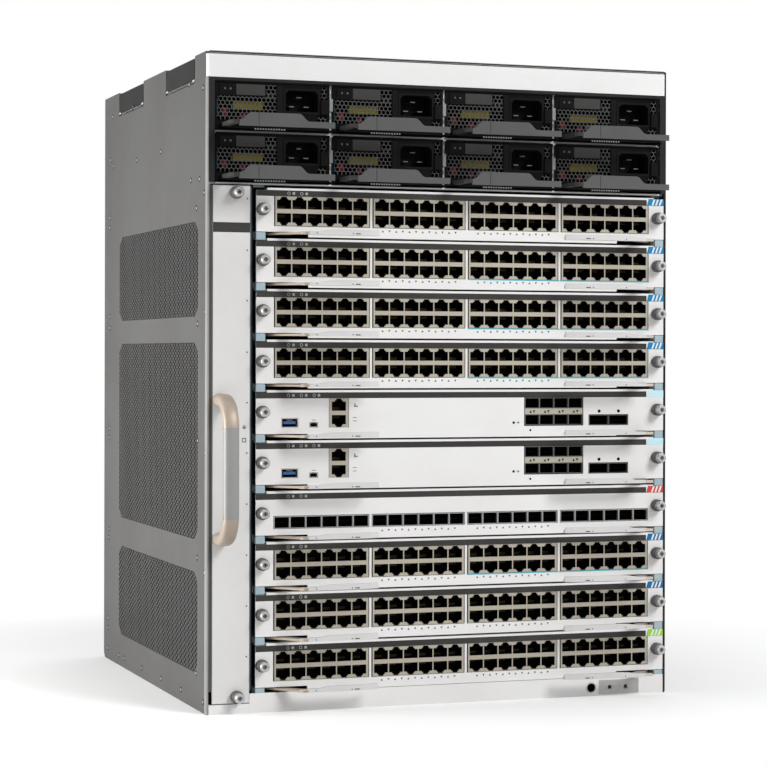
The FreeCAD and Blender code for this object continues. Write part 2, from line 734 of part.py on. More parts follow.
def power_supply():
    """Pieces of the first supply: housing, faceplate, grille, power inlet, switch, latch and connector."""
    face_offset = "chassis_depth / 2 - supply_recess"
    housing = new_body("supply_housing")
    shell = new_sketch(housing, "XZ_Plane", f"{face_offset} - thin_wall")
    rectangle(shell, SUPPLY_LEFT, SUPPLY_LOW, SUPPLY_WIDTH, SUPPLY_HEIGHT)
    supply_back = f"{MODULE_BACK} - connector_depth"
    pad(housing, shell, f"{supply_back} - {SUPPLY_FACE} - thin_wall", against=True)
    mouth = new_sketch(housing, "XZ_Plane", f"{face_offset} - thin_wall")
    rectangle(
        mouth,
        f"{SUPPLY_LEFT} + supply_skin",
        f"{SUPPLY_LOW} + supply_skin",
        f"{SUPPLY_WIDTH} - 2 * supply_skin",
        f"{SUPPLY_HEIGHT} - 2 * supply_skin",
    )
    pocket(housing, mouth, "inlet_depth")

    plate = new_body("supply_faceplate")
    face = new_sketch(plate, "XZ_Plane", face_offset)
    rectangle(face, SUPPLY_LEFT, SUPPLY_LOW, SUPPLY_WIDTH, SUPPLY_HEIGHT)
    pad(plate, face, "thin_wall", against=True)
    openings = new_sketch(plate, "XZ_Plane", face_offset)
    left = f"{SUPPLY_LEFT} + grille_margin"
    low = f"{SUPPLY_LOW} + grille_low"
    right = f"{left} + grille_width"
    top = f"{low} + grille_height"
    corners = [(left, low), (right, low), (right, f"{top} + grille_tab_height")]
    corners += [(f"{right} - grille_tab_width", f"{top} + grille_tab_height")]
    corners += [(f"{right} - grille_tab_width", top), (left, top)]
    outline(openings, corners)
    inlet_left = f"({SUPPLY_LEFT} + inlet_left)"
    inlet_low = f"({SUPPLY_LOW} + inlet_low)"
    rectangle(openings, inlet_left, inlet_low, "inlet_width", "inlet_height")
    pocket(plate, openings, "thin_wall")

    inlet = new_body("power_inlet")
    rim = new_sketch(inlet, "XZ_Plane", face_offset)
    rectangle(rim, inlet_left, inlet_low, "inlet_width", "inlet_height")
    pad(inlet, rim, "inlet_depth", against=True)
    socket = new_sketch(inlet, "XZ_Plane", face_offset)
    rectangle(
        socket,
        f"{inlet_left} + inlet_rim",
        f"{inlet_low} + inlet_rim",
        "inlet_width - 2 * inlet_rim",
        "inlet_height - 2 * inlet_rim",
    )
    pocket(inlet, socket, "inlet_socket")
    middle = f"{inlet_left} + inlet_width / 2"
    floor = f"{SUPPLY_FACE} + inlet_socket"
    height = f"{inlet_low} + inlet_height / 2"
    blades = []
    for aside, above in (("0", "blade_rise / 2"), ("blade_spread / 2", "0 - blade_rise / 2"),
                         ("0 - blade_spread / 2", "0 - blade_rise / 2")):
        corner = (f"{middle} + {aside} - blade_width / 2", f"{floor} - blade_length",
                  f"{height} + {above} - blade_thickness / 2")
        blades.append(block("inlet_blade", corner, ("blade_width", "blade_length", "blade_thickness")))

    rocker = block(
        "rocker_switch",
        (f"{SUPPLY_LEFT} + rocker_left", f"{SUPPLY_FACE} - thin_wall", f"{SUPPLY_LOW} + rocker_low"),
        ("rocker_width", "thin_wall", "rocker_height"),
    )
    latch = block(
        "supply_latch",
        (f"{inlet_left} + inlet_width", f"{SUPPLY_FACE} - latch_depth", inlet_low),
        ("latch_width", "latch_depth", "latch_height"),
    )
    lip = block(
        "supply_lip",
        (SUPPLY_LEFT, f"{SUPPLY_FACE} - supply_lip", SUPPLY_LOW),
        (SUPPLY_WIDTH, "supply_lip", "supply_lip_height"),
    )
    plug = block(
        "supply_connector",
        (f"{SUPPLY_LEFT} + {SUPPLY_WIDTH} / 4", supply_back, f"{SUPPLY_LOW} + {SUPPLY_HEIGHT} / 4"),
        (f"{SUPPLY_WIDTH} / 2", "connector_depth", f"{SUPPLY_HEIGHT} / 2"),
    )
    return [housing, plate, inlet] + blades + [rocker, latch, lip, plug]


def supply_lever():
    """Extraction lever of the first supply: a bar bent out from its pivot, with a raised finger tab."""
    body = new_body("supply_lever")
    low = f"{SUPPLY_LOW} + supply_lip_height + fit_gap"
    spot = DIMENSIONS["partition"] / 2 + DIMENSIONS["fit_gap"] - SUPPLY_COLUMNS / 2 * DIMENSIONS["power_pitch"]
    spot += DIMENSIONS["lever_pivot_in"]
    bar = new_sketch(body, "XY_Plane", low)
    pivot_x = f"({SUPPLY_LEFT} + lever_pivot_in)"
    pivot_y = f"({SUPPLY_FACE} - lever_pivot_radius - fit_gap)"
    left = f"{pivot_x} - lever_pivot_radius"
    right = f"{pivot_x} + lever_pivot_radius"
    front = f"({FRONT} - lever_reach)"
    rear = f"({front} + lever_bar)"
    tip = f"{SUPPLY_LEFT} + lever_tip"
    back = f"({pivot_y} + lever_pivot_radius)"
    corners = [(left, back), (left, f"{front} + lever_corner"), (f"{left} + lever_corner", front), (tip, front)]
    corners += [(tip, rear), (f"{right} + lever_bar", rear), (right, f"{rear} + lever_bar"), (right, back)]
    outline(bar, corners)
    plate = pad(body, bar, "lever_height")
    root_y = -DIMENSIONS["chassis_depth"] / 2 + DIMENSIONS["supply_recess"] - DIMENSIONS["fit_gap"]
    round_edges(
        body, plate, UP, lambda end: end.y > root_y - 0.01 and end.x < spot, "lever_pivot_radius"
    )
    tab = new_sketch(body, "XZ_Plane", "chassis_depth / 2 + lever_reach")
    root = f"{low} + lever_height"
    crest = f"{root} + tab_rise"
    base = f"{low} + lever_height / 2"
    corners = [(f"{SUPPLY_LEFT} + tab_left - tab_ramp", base), (f"{SUPPLY_LEFT} + tab_right + tab_ramp", base)]
    corners += [(f"{SUPPLY_LEFT} + tab_right + tab_ramp", root), (f"{SUPPLY_LEFT} + tab_right", crest)]
    corners += [(f"{SUPPLY_LEFT} + tab_left", crest), (f"{SUPPLY_LEFT} + tab_left - tab_ramp", root)]
    outline(tab, corners)
    pad(body, tab, "tab_thickness", against=True)
    return body


# ---------------------------------------------------------------- cards

def card_faceplate(label, windows):
    """Card faceplate folded back along its top, with a window for each (left, drop, width, height)."""
    body = new_body(label)
    fold = new_sketch(body, "YZ_Plane", CARD_LEFT)
    back = f"{FRONT} + thin_wall"
    top = "slot_top + card_lip_rise"
    corners = [(FRONT, CARD_LOW), (back, CARD_LOW), (back, f"{top} - thin_wall")]
    corners += [(f"{FRONT} + card_lip_depth", f"{top} - thin_wall"), (f"{FRONT} + card_lip_depth", top)]
    corners += [(FRONT, top)]
    outline(fold, corners)
    pad(body, fold, f"{CARD_RIGHT} - {CARD_LEFT}")
    openings = new_sketch(body, "XZ_Plane", "chassis_depth / 2")
    for left, drop, width, height in windows:
        rectangle(openings, f"{CARD_LEFT} + {left}", f"slot_top - {drop} - {height}", width, height)
    pocket(body, openings, "thin_wall")
    return body


def sockets(label, left, drop, width, height, columns=1, rows=1, groups=1):
    """Row of socket groups behind faceplate windows: a housing, walls between columns and a bar between rows."""
    place = f"{CARD_LEFT} + {left}"
    low = f"slot_top - {drop} - {height}"
    repeat = (groups, "group_pitch")
    housing = new_body(f"{label}_housing")
    back = new_sketch(housing, "XZ_Plane", "chassis_depth / 2 - socket_bar_depth - socket_depth")
    rectangle(back, place, low, f"{groups - 1} * group_pitch + {width}", height)
    pad(housing, back, "housing_depth", against=True)
    pieces = [housing]
    if columns > 1:
        walls = new_body(f"{label}_walls")
        pitch = f"({width} + socket_wall) / {columns}"
        face = new_sketch(walls, "XZ_Plane", "chassis_depth / 2 - socket_bar_depth")
        rectangle(face, f"{place} + {pitch} - socket_wall", f"{low} + fit_gap", "socket_wall", f"{height} - 2 * fit_gap")
        wall = pad(walls, face, "socket_depth", against=True)
        if columns > 2 or groups > 1:
            spread(walls, wall, (columns - 1, pitch), repeat)
        pieces.append(walls)
    if rows > 1:
        bars = new_body(f"{label}_bars")
        face = new_sketch(bars, "XZ_Plane", "chassis_depth / 2")
        middle = f"{low} + {height} / 2 - socket_bar / 2"
        rectangle(face, f"{place} + fit_gap", middle, f"{width} - 2 * fit_gap", "socket_bar")
        bar = pad(bars, face, "socket_bar_depth", against=True)
        if groups > 1:
            grid(bars, bar, repeat)
        pieces.append(bars)
    return pieces


def card_carrier(label):
    """Pieces behind every faceplate: carrier sheet, circuit board, heat sink, rear connector and two screws."""
    near = f"({FRONT} + thin_wall)"
    depth = f"({MODULE_BACK} - {near})"
    floor = f"({CARD_LOW} + fit_gap)"
    carrier = block(
        f"{label}_carrier",
        (f"{CARD_LEFT} + wall", near, floor),
        (f"{CARD_RIGHT} - {CARD_LEFT} - 2 * wall", depth, "thin_wall"),
    )
    board_low = f"({floor} + thin_wall)"
    board_left = f"({CARD_LEFT} + guide_width)"
    board_width = f"({CARD_RIGHT} - {CARD_LEFT} - 2 * guide_width)"
    board = block(
        f"{label}_board",
        (board_left, near, board_low),
        (board_width, f"{depth} - connector_depth", f"slot_top - card_board_drop - {board_low}"),
    )
    sink = block(
        f"{label}_heat_sink",
        (f"{board_left} + {board_width} / 2 - sink_size / 2", "0 - sink_size / 2", "slot_top - card_board_drop"),
        ("sink_size", "sink_size", "sink_height"),
    )
    pieces = [carrier, board, sink]
    middle = f"({CARD_LEFT} + {CARD_RIGHT}) / 2"
    pieces.append(
        block(
            f"{label}_connector",
            (f"{middle} - card_connector_width / 2", f"{MODULE_BACK} - connector_depth",
             "slot_top - card_board_drop"),
            ("card_connector_width", "connector_depth", "card_connector_height"),
        )
    )
    height = "slot_top - screw_drop"
    pieces.append(thumbscrew(f"{CARD_LEFT} + left_screw_inset", height))
    pieces.append(thumbscrew(f"{CARD_RIGHT} - right_screw_inset", height))
    return pieces


def group_windows(drop, height):
    """Faceplate windows for the four socket groups of a line card."""
    return [(f"(group_inset + {number} * group_pitch)", drop, "group_width", height) for number in range(GROUPS)]


def copper_card():
    """Line card with four groups of twelve jacks."""
    jacks = ("group_inset", "group_drop", "group_width", "group_height")
    faceplate = card_faceplate("copper_faceplate", group_windows("group_drop", "group_height"))
    return [faceplate] + sockets("copper", *jacks, GROUP_COLUMNS, 2, GROUPS) + card_carrier("copper")


def fibre_card():
    """Line card with one row of pluggable-module cages."""
    cages = ("group_inset", "cage_drop", "group_width", "cage_height")
    faceplate = card_faceplate("fibre_faceplate", group_windows("cage_drop", "cage_height"))
    return [faceplate] + sockets("fibre", *cages, GROUP_COLUMNS, 1, GROUPS) + card_carrier("fibre")


def supervisor_card():
    """Supervisor card with storage, console, management and uplink sockets."""
    foot = "(group_drop + group_height)"
    layout = {
        "storage": (("usb_left", f"({foot} - usb_height)", "usb_width", "usb_height"), 1, 1),
        "console": (("console_left", f"({foot} - console_height)", "console_width", "console_height"), 1, 1),
        "management": (("stack_left", "group_drop", "stack_width", "group_height"), 1, 2),
        "uplink": (("uplink_left", "group_drop", "uplink_width", "group_height"), 4, 2),
        "quad": (("quad_left", f"({foot} - quad_height)", "quad_width", "quad_height"), 2, 1),
    }
    pieces = [card_faceplate("supervisor_faceplate", [window for window, columns, rows in layout.values()])]
    for name, (window, columns, rows) in layout.items():
        pieces += sockets(name, *window, columns, rows)
    return pieces + card_carrier("supervisor")


def card_lever():
    """Left ejector lever of the first card: a flat arm under the card that carries a thicker grip."""
    body = new_body("card_lever")
    pivot_x = f"({CARD_LEFT} + ejector_pivot)"
    pivot_y = f"({FRONT} + ejector_pivot_back)"
    front = f"({FRONT} - ejector_reach)"
    rear = f"({front} + ejector_grip_depth)"
    bend = f"({pivot_x} + ejector_slant)"
    arm_end = f"({CARD_LEFT} + ejector_arm_end)"
    top = "slot_top - ejector_drop"
    spot = -DIMENSIONS["chassis_width"] / 2 + DIMENSIONS["card_inset"] + DIMENSIONS["ejector_pivot"]
    narrow = "ejector_pivot_radius"
    pivot_back = f"({pivot_y} + {narrow})"
    arm = new_sketch(body, "XY_Plane", f"{top} - ejector_arm")
    corners = [(f"{pivot_x} - {narrow}", pivot_back), (bend, front), (arm_end, front), (arm_end, rear)]
    corners += [(f"{bend} + ejector_grip_depth / 2", rear), (f"{pivot_x} + {narrow}", f"{pivot_y} - {narrow}")]
    corners += [(f"{pivot_x} + {narrow}", pivot_back)]
    outline(arm, corners)
    plate = pad(body, arm, "ejector_arm")
    back = -DIMENSIONS["chassis_depth"] / 2 + DIMENSIONS["ejector_pivot_back"] + DIMENSIONS["ejector_pivot_radius"]
    round_edges(body, plate, UP, lambda end: end.y > back - 0.01 and end.x > spot, "ejector_pivot_radius")
    grip = new_sketch(body, "XY_Plane", f"{top} - ejector_arm - fit_gap")
    end = f"({CARD_LEFT} + ejector_length)"
    corners = [(bend, front), (f"{end} - ejector_grip_end", front), (end, rear)]
    corners += [(f"{bend} + ejector_grip_depth / 2", rear)]
    outline(grip, corners)
    pad(body, grip, "ejector_grip_height")
    return body


# ---------------------------------------------------------------- the whole switch

def build_chassis():
    """Makes the fixed pieces of the chassis and its handles."""
    left_panel = side_panel("left_side_panel")
    left_handles = carry_handles("left_carry_handles")
    nodes = [left_panel, mirrored("right_side_panel", left_panel), top_cover(), base_pan(), rear_panel()]
    nodes += [top_bezel(), power_bay_frame(), fan_bay_divider(), card_guides(), backplane()]
    nodes += [left_handles, mirrored("right_carry_handles", left_handles), fan_tray(), fan_tray_handle()]
    return nodes


def build_supplies():
    """Places the power supplies and their levers, numbered along the upper row, then the lower."""
    pieces = power_supply()
    lever = supply_lever()
    nodes = []
    for number in range(2 * SUPPLY_COLUMNS):
        right = f"{number % SUPPLY_COLUMNS} * power_pitch"
        down = f"{number // SUPPLY_COLUMNS - 1} * power_rise"
        nodes.append(placed(f"power_supply_{number + 1}", pieces, right, down))
        nodes.append(placed(f"power_supply_{number + 1}_lever", [lever], right, down))
    return nodes


def build_cards():
    """Places a card and its two levers in each slot, from the top."""
    copper = copper_card()
    kinds = {5: ("supervisor", supervisor_card()), 7: ("line_card", fibre_card())}
    kinds[6] = kinds[5]
    left_lever = card_lever()
    right_lever = mirrored("card_lever_mirrored", left_lever, f"({CARD_LEFT} + {CARD_RIGHT}) / 2")
    nodes = []
    for slot in range(1, SLOTS + 1):
        name, pieces = kinds.get(slot, ("line_card", copper))
        down = f"{slot - 1} * slot_pitch"
        nodes.append(placed(f"{name}_{slot:02d}", pieces, down=down))
        nodes.append(placed(f"slot_{slot:02d}_left_lever", [left_lever], down=down))
        nodes.append(placed(f"slot_{slot:02d}_right_lever", [right_lever], down=down))
    return nodes


def check(nodes):
    """Stops if any object failed or any node's shape is missing or invalid."""
    for item in doc.Objects:
        if "Invalid" in item.State or "Error" in item.State:
            raise RuntimeError(f"{item.Label}: {item.State}")
    for item in doc.Objects:
        if item.TypeId == "PartDesign::Pocket" and item.Shape.Volume > item.BaseFeature.Shape.Volume - 0.001:
            raise RuntimeError(f"{item.Label} cuts nothing")
    for node in nodes:
        if node.Shape.isNull() or not node.Shape.isValid() or not node.Shape.Solids:
            raise RuntimeError(f"{node.Label} has no valid solid")


nodes = build_chassis() + build_supplies() + build_cards()
doc.recompute()
check(nodes)
os.makedirs("parts", exist_ok=True)
for node in nodes:
    node.Shape.exportStep(f"parts/{node.Label}.step")
print(len(nodes), "nodes,", sum(len(node.Shape.Solids) for node in nodes), "solids")
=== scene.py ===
# %% [markdown]
# # A modular chassis switch
# This notebook dresses the CAD frame of a tall network switch: a sheet metal chassis with eight plug-in
# power supplies over ten card slots, and a fan tray with a bow handle down the left side. The frame brings
# every solid in its place. Each cell below adds finer pieces over those solids, or gives them a finish.

import bmesh
import bpy
import math
from mathutils import Matrix, Vector


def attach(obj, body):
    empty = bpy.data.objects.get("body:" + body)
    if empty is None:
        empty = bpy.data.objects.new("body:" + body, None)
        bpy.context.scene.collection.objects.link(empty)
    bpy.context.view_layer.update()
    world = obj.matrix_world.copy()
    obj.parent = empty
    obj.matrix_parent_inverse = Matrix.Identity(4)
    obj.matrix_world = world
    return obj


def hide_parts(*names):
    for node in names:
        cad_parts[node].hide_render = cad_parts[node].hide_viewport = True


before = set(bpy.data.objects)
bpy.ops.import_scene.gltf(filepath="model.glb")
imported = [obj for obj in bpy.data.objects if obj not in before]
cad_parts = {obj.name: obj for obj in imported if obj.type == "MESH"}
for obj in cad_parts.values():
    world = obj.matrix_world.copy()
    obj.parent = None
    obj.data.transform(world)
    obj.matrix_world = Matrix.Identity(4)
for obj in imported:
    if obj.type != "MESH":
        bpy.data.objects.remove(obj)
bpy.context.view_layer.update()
MM = 0.001
print("nodes in the frame:", len(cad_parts))

# %% [markdown]
# ## Sizes that many pieces share
# All sizes are in millimetres, with X to the right, the front towards -Y and Z up from the base. The sizes
# of the card slots repeat down the chassis, so each card is drawn once, in the top slot, and copied
# downwards.

# %% Shared sizes
FRONT = -207.0
SIDE = 220.0
HEIGHT = 577.0
SLOT_TOP = 457.1
SLOT_PITCH = 44.33
STRIP_LOW = SLOT_TOP - 5.2
CARD_LEFT = -175.6
CARD_RIGHT = 217.7
CARD_MIDDLE = (CARD_LEFT + CARD_RIGHT) / 2
MODULE_BACK = 149.7
GROUP_PITCH = 91.0
GROUP_LEFTS = [CARD_LEFT + 16.2 + GROUP_PITCH * number for number in range(4)]
GROUP_WIDTH = 88.8
SUPPLY_LEFT = -212.7
SUPPLY_LOW = 508.5
SUPPLY_WIDTH = 104.4
SUPPLY_HEIGHT = 43.1
SUPPLY_PITCH = 107.0
SUPPLY_RISE = 45.2
FIBRE_SLOTS = (7,)
SUPERVISOR_SLOTS = (5, 6)

# %% [markdown]
# ## The camera
# The object is seen from its left front corner with a long lens held level, so that upright edges stay
# upright. A small vertical shift does what tilting would do, without leaning the sides.

# %% Camera
camera_data = bpy.data.cameras.new("camera")
camera_data.sensor_width = 36.0
camera_data.lens = 108.06571
camera_data.shift_y = -0.0357
camera_data.clip_end = 60.0
camera = bpy.data.objects.new("camera", camera_data)
bpy.context.scene.collection.objects.link(camera)
camera.location = (-0.73167, -2.14274, 0.31188)
camera.rotation_euler = (math.radians(90), math.radians(-0.136), math.radians(-19.196))
bpy.context.scene.camera = camera

# %% [markdown]
# ## Shader groups
# Two effects turn up in most finishes. *Grain* is the fine orange peel of powder coat, or the pebble of
# moulded plastic. *Handling* is the faint, wide cloudiness that hands and dust leave. Each is a group with
# its own sizes, and puts out only values, so that every material keeps its own shader.

# %% Shader groups
def new_node(tree, kind, inputs=None, **settings):
    """Adds a node, sets its options, and links or sets its inputs by their names."""
    node = tree.nodes.new(kind)
    for option, value in settings.items():
        setattr(node, option, value)
    for label, value in (inputs or {}).items():
        if isinstance(value, bpy.types.NodeSocket):
            tree.links.new(value, node.inputs[label])
        else:
            node.inputs[label].default_value = value
    return node


def value_group(name, sizes, result):
    """Makes an empty shader group with a vector, named numbers and one result."""
    tree = bpy.data.node_groups.new(name, "ShaderNodeTree")
    tree.interface.new_socket("Vector", in_out="INPUT", socket_type="NodeSocketVector")
    for label, default in sizes.items():
        socket = tree.interface.new_socket(label, in_out="INPUT", socket_type="NodeSocketFloat")
        socket.default_value = default
    tree.interface.new_socket(result, in_out="OUTPUT", socket_type="NodeSocketFloat")
    return tree, tree.nodes.new("NodeGroupInput").outputs, tree.nodes.new("NodeGroupOutput").inputs


def grain_group():
    """Fine relief: two sizes of noise, mixed."""
    tree, start, end = value_group("Grain", {"Size": 900.0, "Coarse Share": 0.35}, "Height")
    coarse_size = new_node(tree, "ShaderNodeMath", {0: start["Size"], 1: 0.22}, operation="MULTIPLY")
    fine, coarse = [
        new_node(tree, "ShaderNodeTexNoise", {"Vector": start["Vector"], "Scale": size, "Detail": 3.0})
        for size in (start["Size"], coarse_size.outputs[0])
    ]
    shares = {"Factor": start["Coarse Share"], "A": fine.outputs["Fac"], "B": coarse.outputs["Fac"]}
    tree.links.new(new_node(tree, "ShaderNodeMix", shares).outputs["Result"], end["Height"])
    return tree


def handling_group():
    """Wide, faint cloudiness, as a mask from 0 to 1."""
    tree, start, end = value_group("Handling", {"Size": 9.0, "Low": 0.42, "High": 0.72}, "Mask")
    look = {"Vector": start["Vector"], "Scale": start["Size"], "Detail": 6.0, "Roughness": 0.62}
    clouds = new_node(tree, "ShaderNodeTexNoise", look)
    bounds = {"Value": clouds.outputs["Fac"], "From Min": start["Low"], "From Max": start["High"]}
    tree.links.new(new_node(tree, "ShaderNodeMapRange", bounds).outputs["Result"], end["Mask"])
    return tree


GRAIN = grain_group()
HANDLING = handling_group()
print("shader groups:", GRAIN.name, HANDLING.name)

# %% [markdown]
# ## Finishes
# One function lays out a finish: a colour that drifts a little towards a second one where hands have been,
# a roughness that follows the grain, and a fine relief. Streaks for rolled or brushed metal come from
# stretching the grain's coordinates. The values stand for satin powder coat, semi-gloss paint, zinc plate,
# nickel and moulded plastic.

# %% Finishes
def finish(
    name, colour, worn, rough, metal=0.0, grain=900.0, relief=0.06, streaks=None, coat=0.0, shine=0.5
):
    """Makes a finish on Object coordinates. streaks stretches the grain along X, Y and Z."""
    material = bpy.data.materials.new(name)
    material.use_nodes = True
    tree = material.node_tree
    place = fine_place = tree.nodes.new("ShaderNodeTexCoord").outputs["Object"]
    if streaks:
        mapping = new_node(tree, "ShaderNodeMapping", {"Vector": place, "Scale": streaks})
        fine_place = mapping.outputs["Vector"]
    height = new_node(tree, "ShaderNodeGroup", node_tree=GRAIN)
    height.inputs["Size"].default_value = grain
    tree.links.new(fine_place, height.inputs["Vector"])
    marks = new_node(tree, "ShaderNodeGroup", node_tree=HANDLING)
    tree.links.new(place, marks.inputs["Vector"])
    tones = {"Factor": marks.outputs["Mask"], "A": (*colour, 1), "B": (*worn, 1)}
    paint = new_node(tree, "ShaderNodeMix", tones, data_type="RGBA")
    low, high = max(rough - 0.07, 0.03), min(rough + 0.1, 1.0)
    spread = {"Value": height.outputs["Height"], "To Min": low, "To Max": high}
    gloss = new_node(tree, "ShaderNodeMapRange", spread)
    peel = {"Height": height.outputs["Height"], "Strength": relief, "Distance": 0.0004}
    bump = new_node(tree, "ShaderNodeBump", peel)
    shader = tree.nodes["Principled BSDF"]
    tree.links.new(paint.outputs["Result"], shader.inputs["Base Color"])
    tree.links.new(gloss.outputs["Result"], shader.inputs["Roughness"])
    tree.links.new(bump.outputs["Normal"], shader.inputs["Normal"])
    shader.inputs["Metallic"].default_value = metal
    shader.inputs["Coat Weight"].default_value = coat
    shader.inputs["Specular IOR Level"].default_value = shine
    return material


def grey(value, warmth=0.0):
    """A linear grey, warmer or cooler by a small share."""
    return (value * (1 + warmth), value, value * (1 - warmth))


PANEL_PAINT = finish(
    "panel paint", grey(0.108, 0.005), grey(0.095, 0.02), 0.6, relief=0.25, grain=1400.0, shine=0.04
)
# Paint of the cover and rear panel; on the left rolled edge its lighter tone is a painted highlight.
COVER_PAINT_AND_HIGHLIGHT = finish("cover paint and painted highlight", grey(0.26), grey(0.22), 0.5, relief=0.2, grain=1400.0, shine=0.2)
# Dark paint of the folding handles and posts; on the right edge and round the bezel it is painted shade.
DARK_PAINT_AND_SHADE = finish(
    "dark paint and painted shade", grey(0.024), grey(0.034), 0.6, relief=0.2, grain=1400.0, shine=0.05
)
# Bare steel of the side screws; on the handle lips its brightness is partly painted highlight.
STEEL_AND_HIGHLIGHT = finish("bare steel and painted highlight", grey(0.66), grey(0.55), 0.36, 0.7, 500.0, 0.1, (1.0, 1.0, 0.04))
FACE_PAINT = finish(
    "faceplate paint", grey(0.78, 0.01), grey(0.73, 0.016), 0.46, relief=0.1, grain=1700.0, shine=0.25
)
TRAY_PAINT = finish(
    "tray paint", grey(0.69, 0.012), grey(0.64, 0.02), 0.46, relief=0.1, grain=1700.0, shine=0.25
)
BEZEL_PAINT = finish(
    "bezel paint", grey(0.78, 0.008), grey(0.74, 0.014), 0.46, relief=0.1, grain=1700.0, shine=0.25
)
STRIP_INK = finish("dark strip", grey(0.034, 0.04), grey(0.048, 0.04), 0.5, relief=0.1, shine=0.15)
# Black finish for trim and plastic; in the front gaps and round the side screws it is painted shadow.
BLACK_TRIM_AND_SHADOW = finish("black trim and painted shadow", grey(0.006), grey(0.01), 0.6, relief=0.1, shine=0.05)
# Black plastic of sockets and wells; behind the side holes and inside each supply it is painted shade.
BLACK_PLASTIC_AND_SHADE = finish("socket plastic and painted shade", grey(0.003), grey(0.005), 0.7, relief=0.15, shine=0.03)
JACK_METAL = finish("jack shield", (0.42, 0.385, 0.315), (0.36, 0.33, 0.27), 0.4, 0.3, 900.0, 0.1)
GOLD = finish("contact gold", (0.1, 0.065, 0.022), (0.08, 0.05, 0.018), 0.45, 0.5, 900.0, 0.05)
ZINC = finish("zinc plate", grey(0.4, 0.01), grey(0.42, 0.03), 0.38, 0.7, 600.0, 0.12, (0.06, 1.0, 1.0))
SHELF_STEEL = finish(
    "shelf edge steel", grey(0.62), grey(0.52, 0.01), 0.34, 0.6, 600.0, 0.1, (0.04, 1.0, 1.0)
)
SCREW_NICKEL = finish("screw nickel", grey(0.52), grey(0.42, 0.02), 0.32, 0.8, 900.0, 0.08)
# Dark metal of the knurled sleeves; on the cross recesses and the inlet blades it is painted shade.
SCREW_SLEEVE_AND_SHADE = finish("screw sleeve and painted shade", grey(0.13, 0.02), grey(0.09), 0.42, 0.6, 900.0, 0.1)
CHARCOAL = finish(
    "supply paint", grey(0.006, 0.02), grey(0.01, 0.02), 0.65, relief=0.3, grain=1500.0, shine=0.02
)
MESH_STEEL = finish("grille steel", grey(0.1), grey(0.07), 0.5, 0.1, 900.0, 0.1, shine=0.2)
LEVER_PLASTIC = finish(
    "lever plastic", grey(0.085, -0.01), grey(0.105), 0.55, relief=0.3, grain=1900.0, shine=0.15
)
EJECTOR_PLASTIC = finish(
    "ejector plastic", grey(0.62, 0.01), grey(0.56, 0.02), 0.42, relief=0.15, grain=1900.0
)
EJECTOR_SHADE = finish("ejector scoop", grey(0.2, 0.02), grey(0.26, 0.02), 0.45, relief=0.2, grain=1900.0)
ARM_STEEL = finish(
    "ejector arm", (0.36, 0.3, 0.24), (0.28, 0.235, 0.19), 0.42, 0.4, 800.0, 0.15, (0.1, 1.0, 1.0)
)
ARM_CAP = finish("ejector arm end", (0.58, 0.5, 0.42), (0.5, 0.43, 0.36), 0.42, 0.2, 800.0, 0.12)
ARM_BROWN = finish("seal strip", (0.11, 0.075, 0.05), (0.08, 0.06, 0.04), 0.5, relief=0.1, shine=0.2)
GASKET = finish("gasket", (0.09, 0.14, 0.16), (0.07, 0.11, 0.12), 0.5, relief=0.1, shine=0.2)
GRIP_CHAMPAGNE = finish("grip ends", (0.38, 0.31, 0.25), (0.33, 0.27, 0.22), 0.45, 0.2, 1500.0, 0.12)
GRIP_GREY = finish("grip bar", grey(0.27, 0.01), grey(0.24, 0.01), 0.45, 0.1, 1500.0, 0.12)
GUIDE_BLUE = finish("guide plastic", (0.36, 0.46, 0.5), (0.3, 0.4, 0.45), 0.46, relief=0.2)
BOARD_GREEN = finish("circuit board", (0.012, 0.07, 0.035), (0.02, 0.09, 0.05), 0.4, relief=0.2, coat=0.3)
CHIP_BLACK = finish("chip epoxy", grey(0.02), grey(0.03), 0.55, relief=0.3)
COIL_YELLOW = finish("transformer tape", (0.2, 0.17, 0.03), (0.12, 0.1, 0.02), 0.6, relief=0.2, shine=0.1)
COIL_RED = finish("capacitor sleeve", (0.16, 0.02, 0.02), (0.1, 0.015, 0.015), 0.6, relief=0.1, shine=0.1)
COIL_BLUE = finish("filter block", (0.02, 0.09, 0.14), (0.02, 0.07, 0.11), 0.6, relief=0.1, shine=0.1)
FIN_METAL = finish("heat sink", grey(0.5), grey(0.42), 0.4, 0.9, 600.0, 0.1, (1.0, 0.05, 1.0))
USB_BLUE = finish("storage tongue", (0.015, 0.09, 0.28), (0.02, 0.11, 0.32), 0.4, relief=0.1)
TAG_BLUE = finish("blue tag", (0.005, 0.21, 0.44), (0.01, 0.25, 0.48), 0.45, relief=0.05, shine=0.2)
TAG_NAVY = finish("deep blue tag", (0.008, 0.13, 0.32), (0.01, 0.16, 0.36), 0.45, relief=0.05, shine=0.2)
TAG_PALE = finish("pale blue tag", (0.55, 0.78, 0.82), (0.5, 0.74, 0.8), 0.4, relief=0.05)
TAG_RED = finish("red tag", (0.55, 0.04, 0.03), (0.5, 0.05, 0.04), 0.4, relief=0.05)
TAG_GREEN = finish("green tag", (0.28, 0.6, 0.04), (0.25, 0.55, 0.04), 0.4, relief=0.05)
CYAN_LINE = finish("cyan line", (0.1, 0.5, 0.6), (0.12, 0.54, 0.62), 0.4, relief=0.05)
INK_GREY = finish("ink", grey(0.07), grey(0.1), 0.5, relief=0.05)
INK_PALE = finish("pale print", grey(0.38), grey(0.3), 0.5, relief=0.05, shine=0.2)
print("finishes:", len(bpy.data.materials))

# %% [markdown]
# ## Moulds
# A mould collects plain solids in one mesh: blocks, prisms cut from an outline with holes, and turned
# shapes. Most sheet metal parts are prisms. A live bevel then breaks every hard edge, as paint and tooling
# do, and catches light.

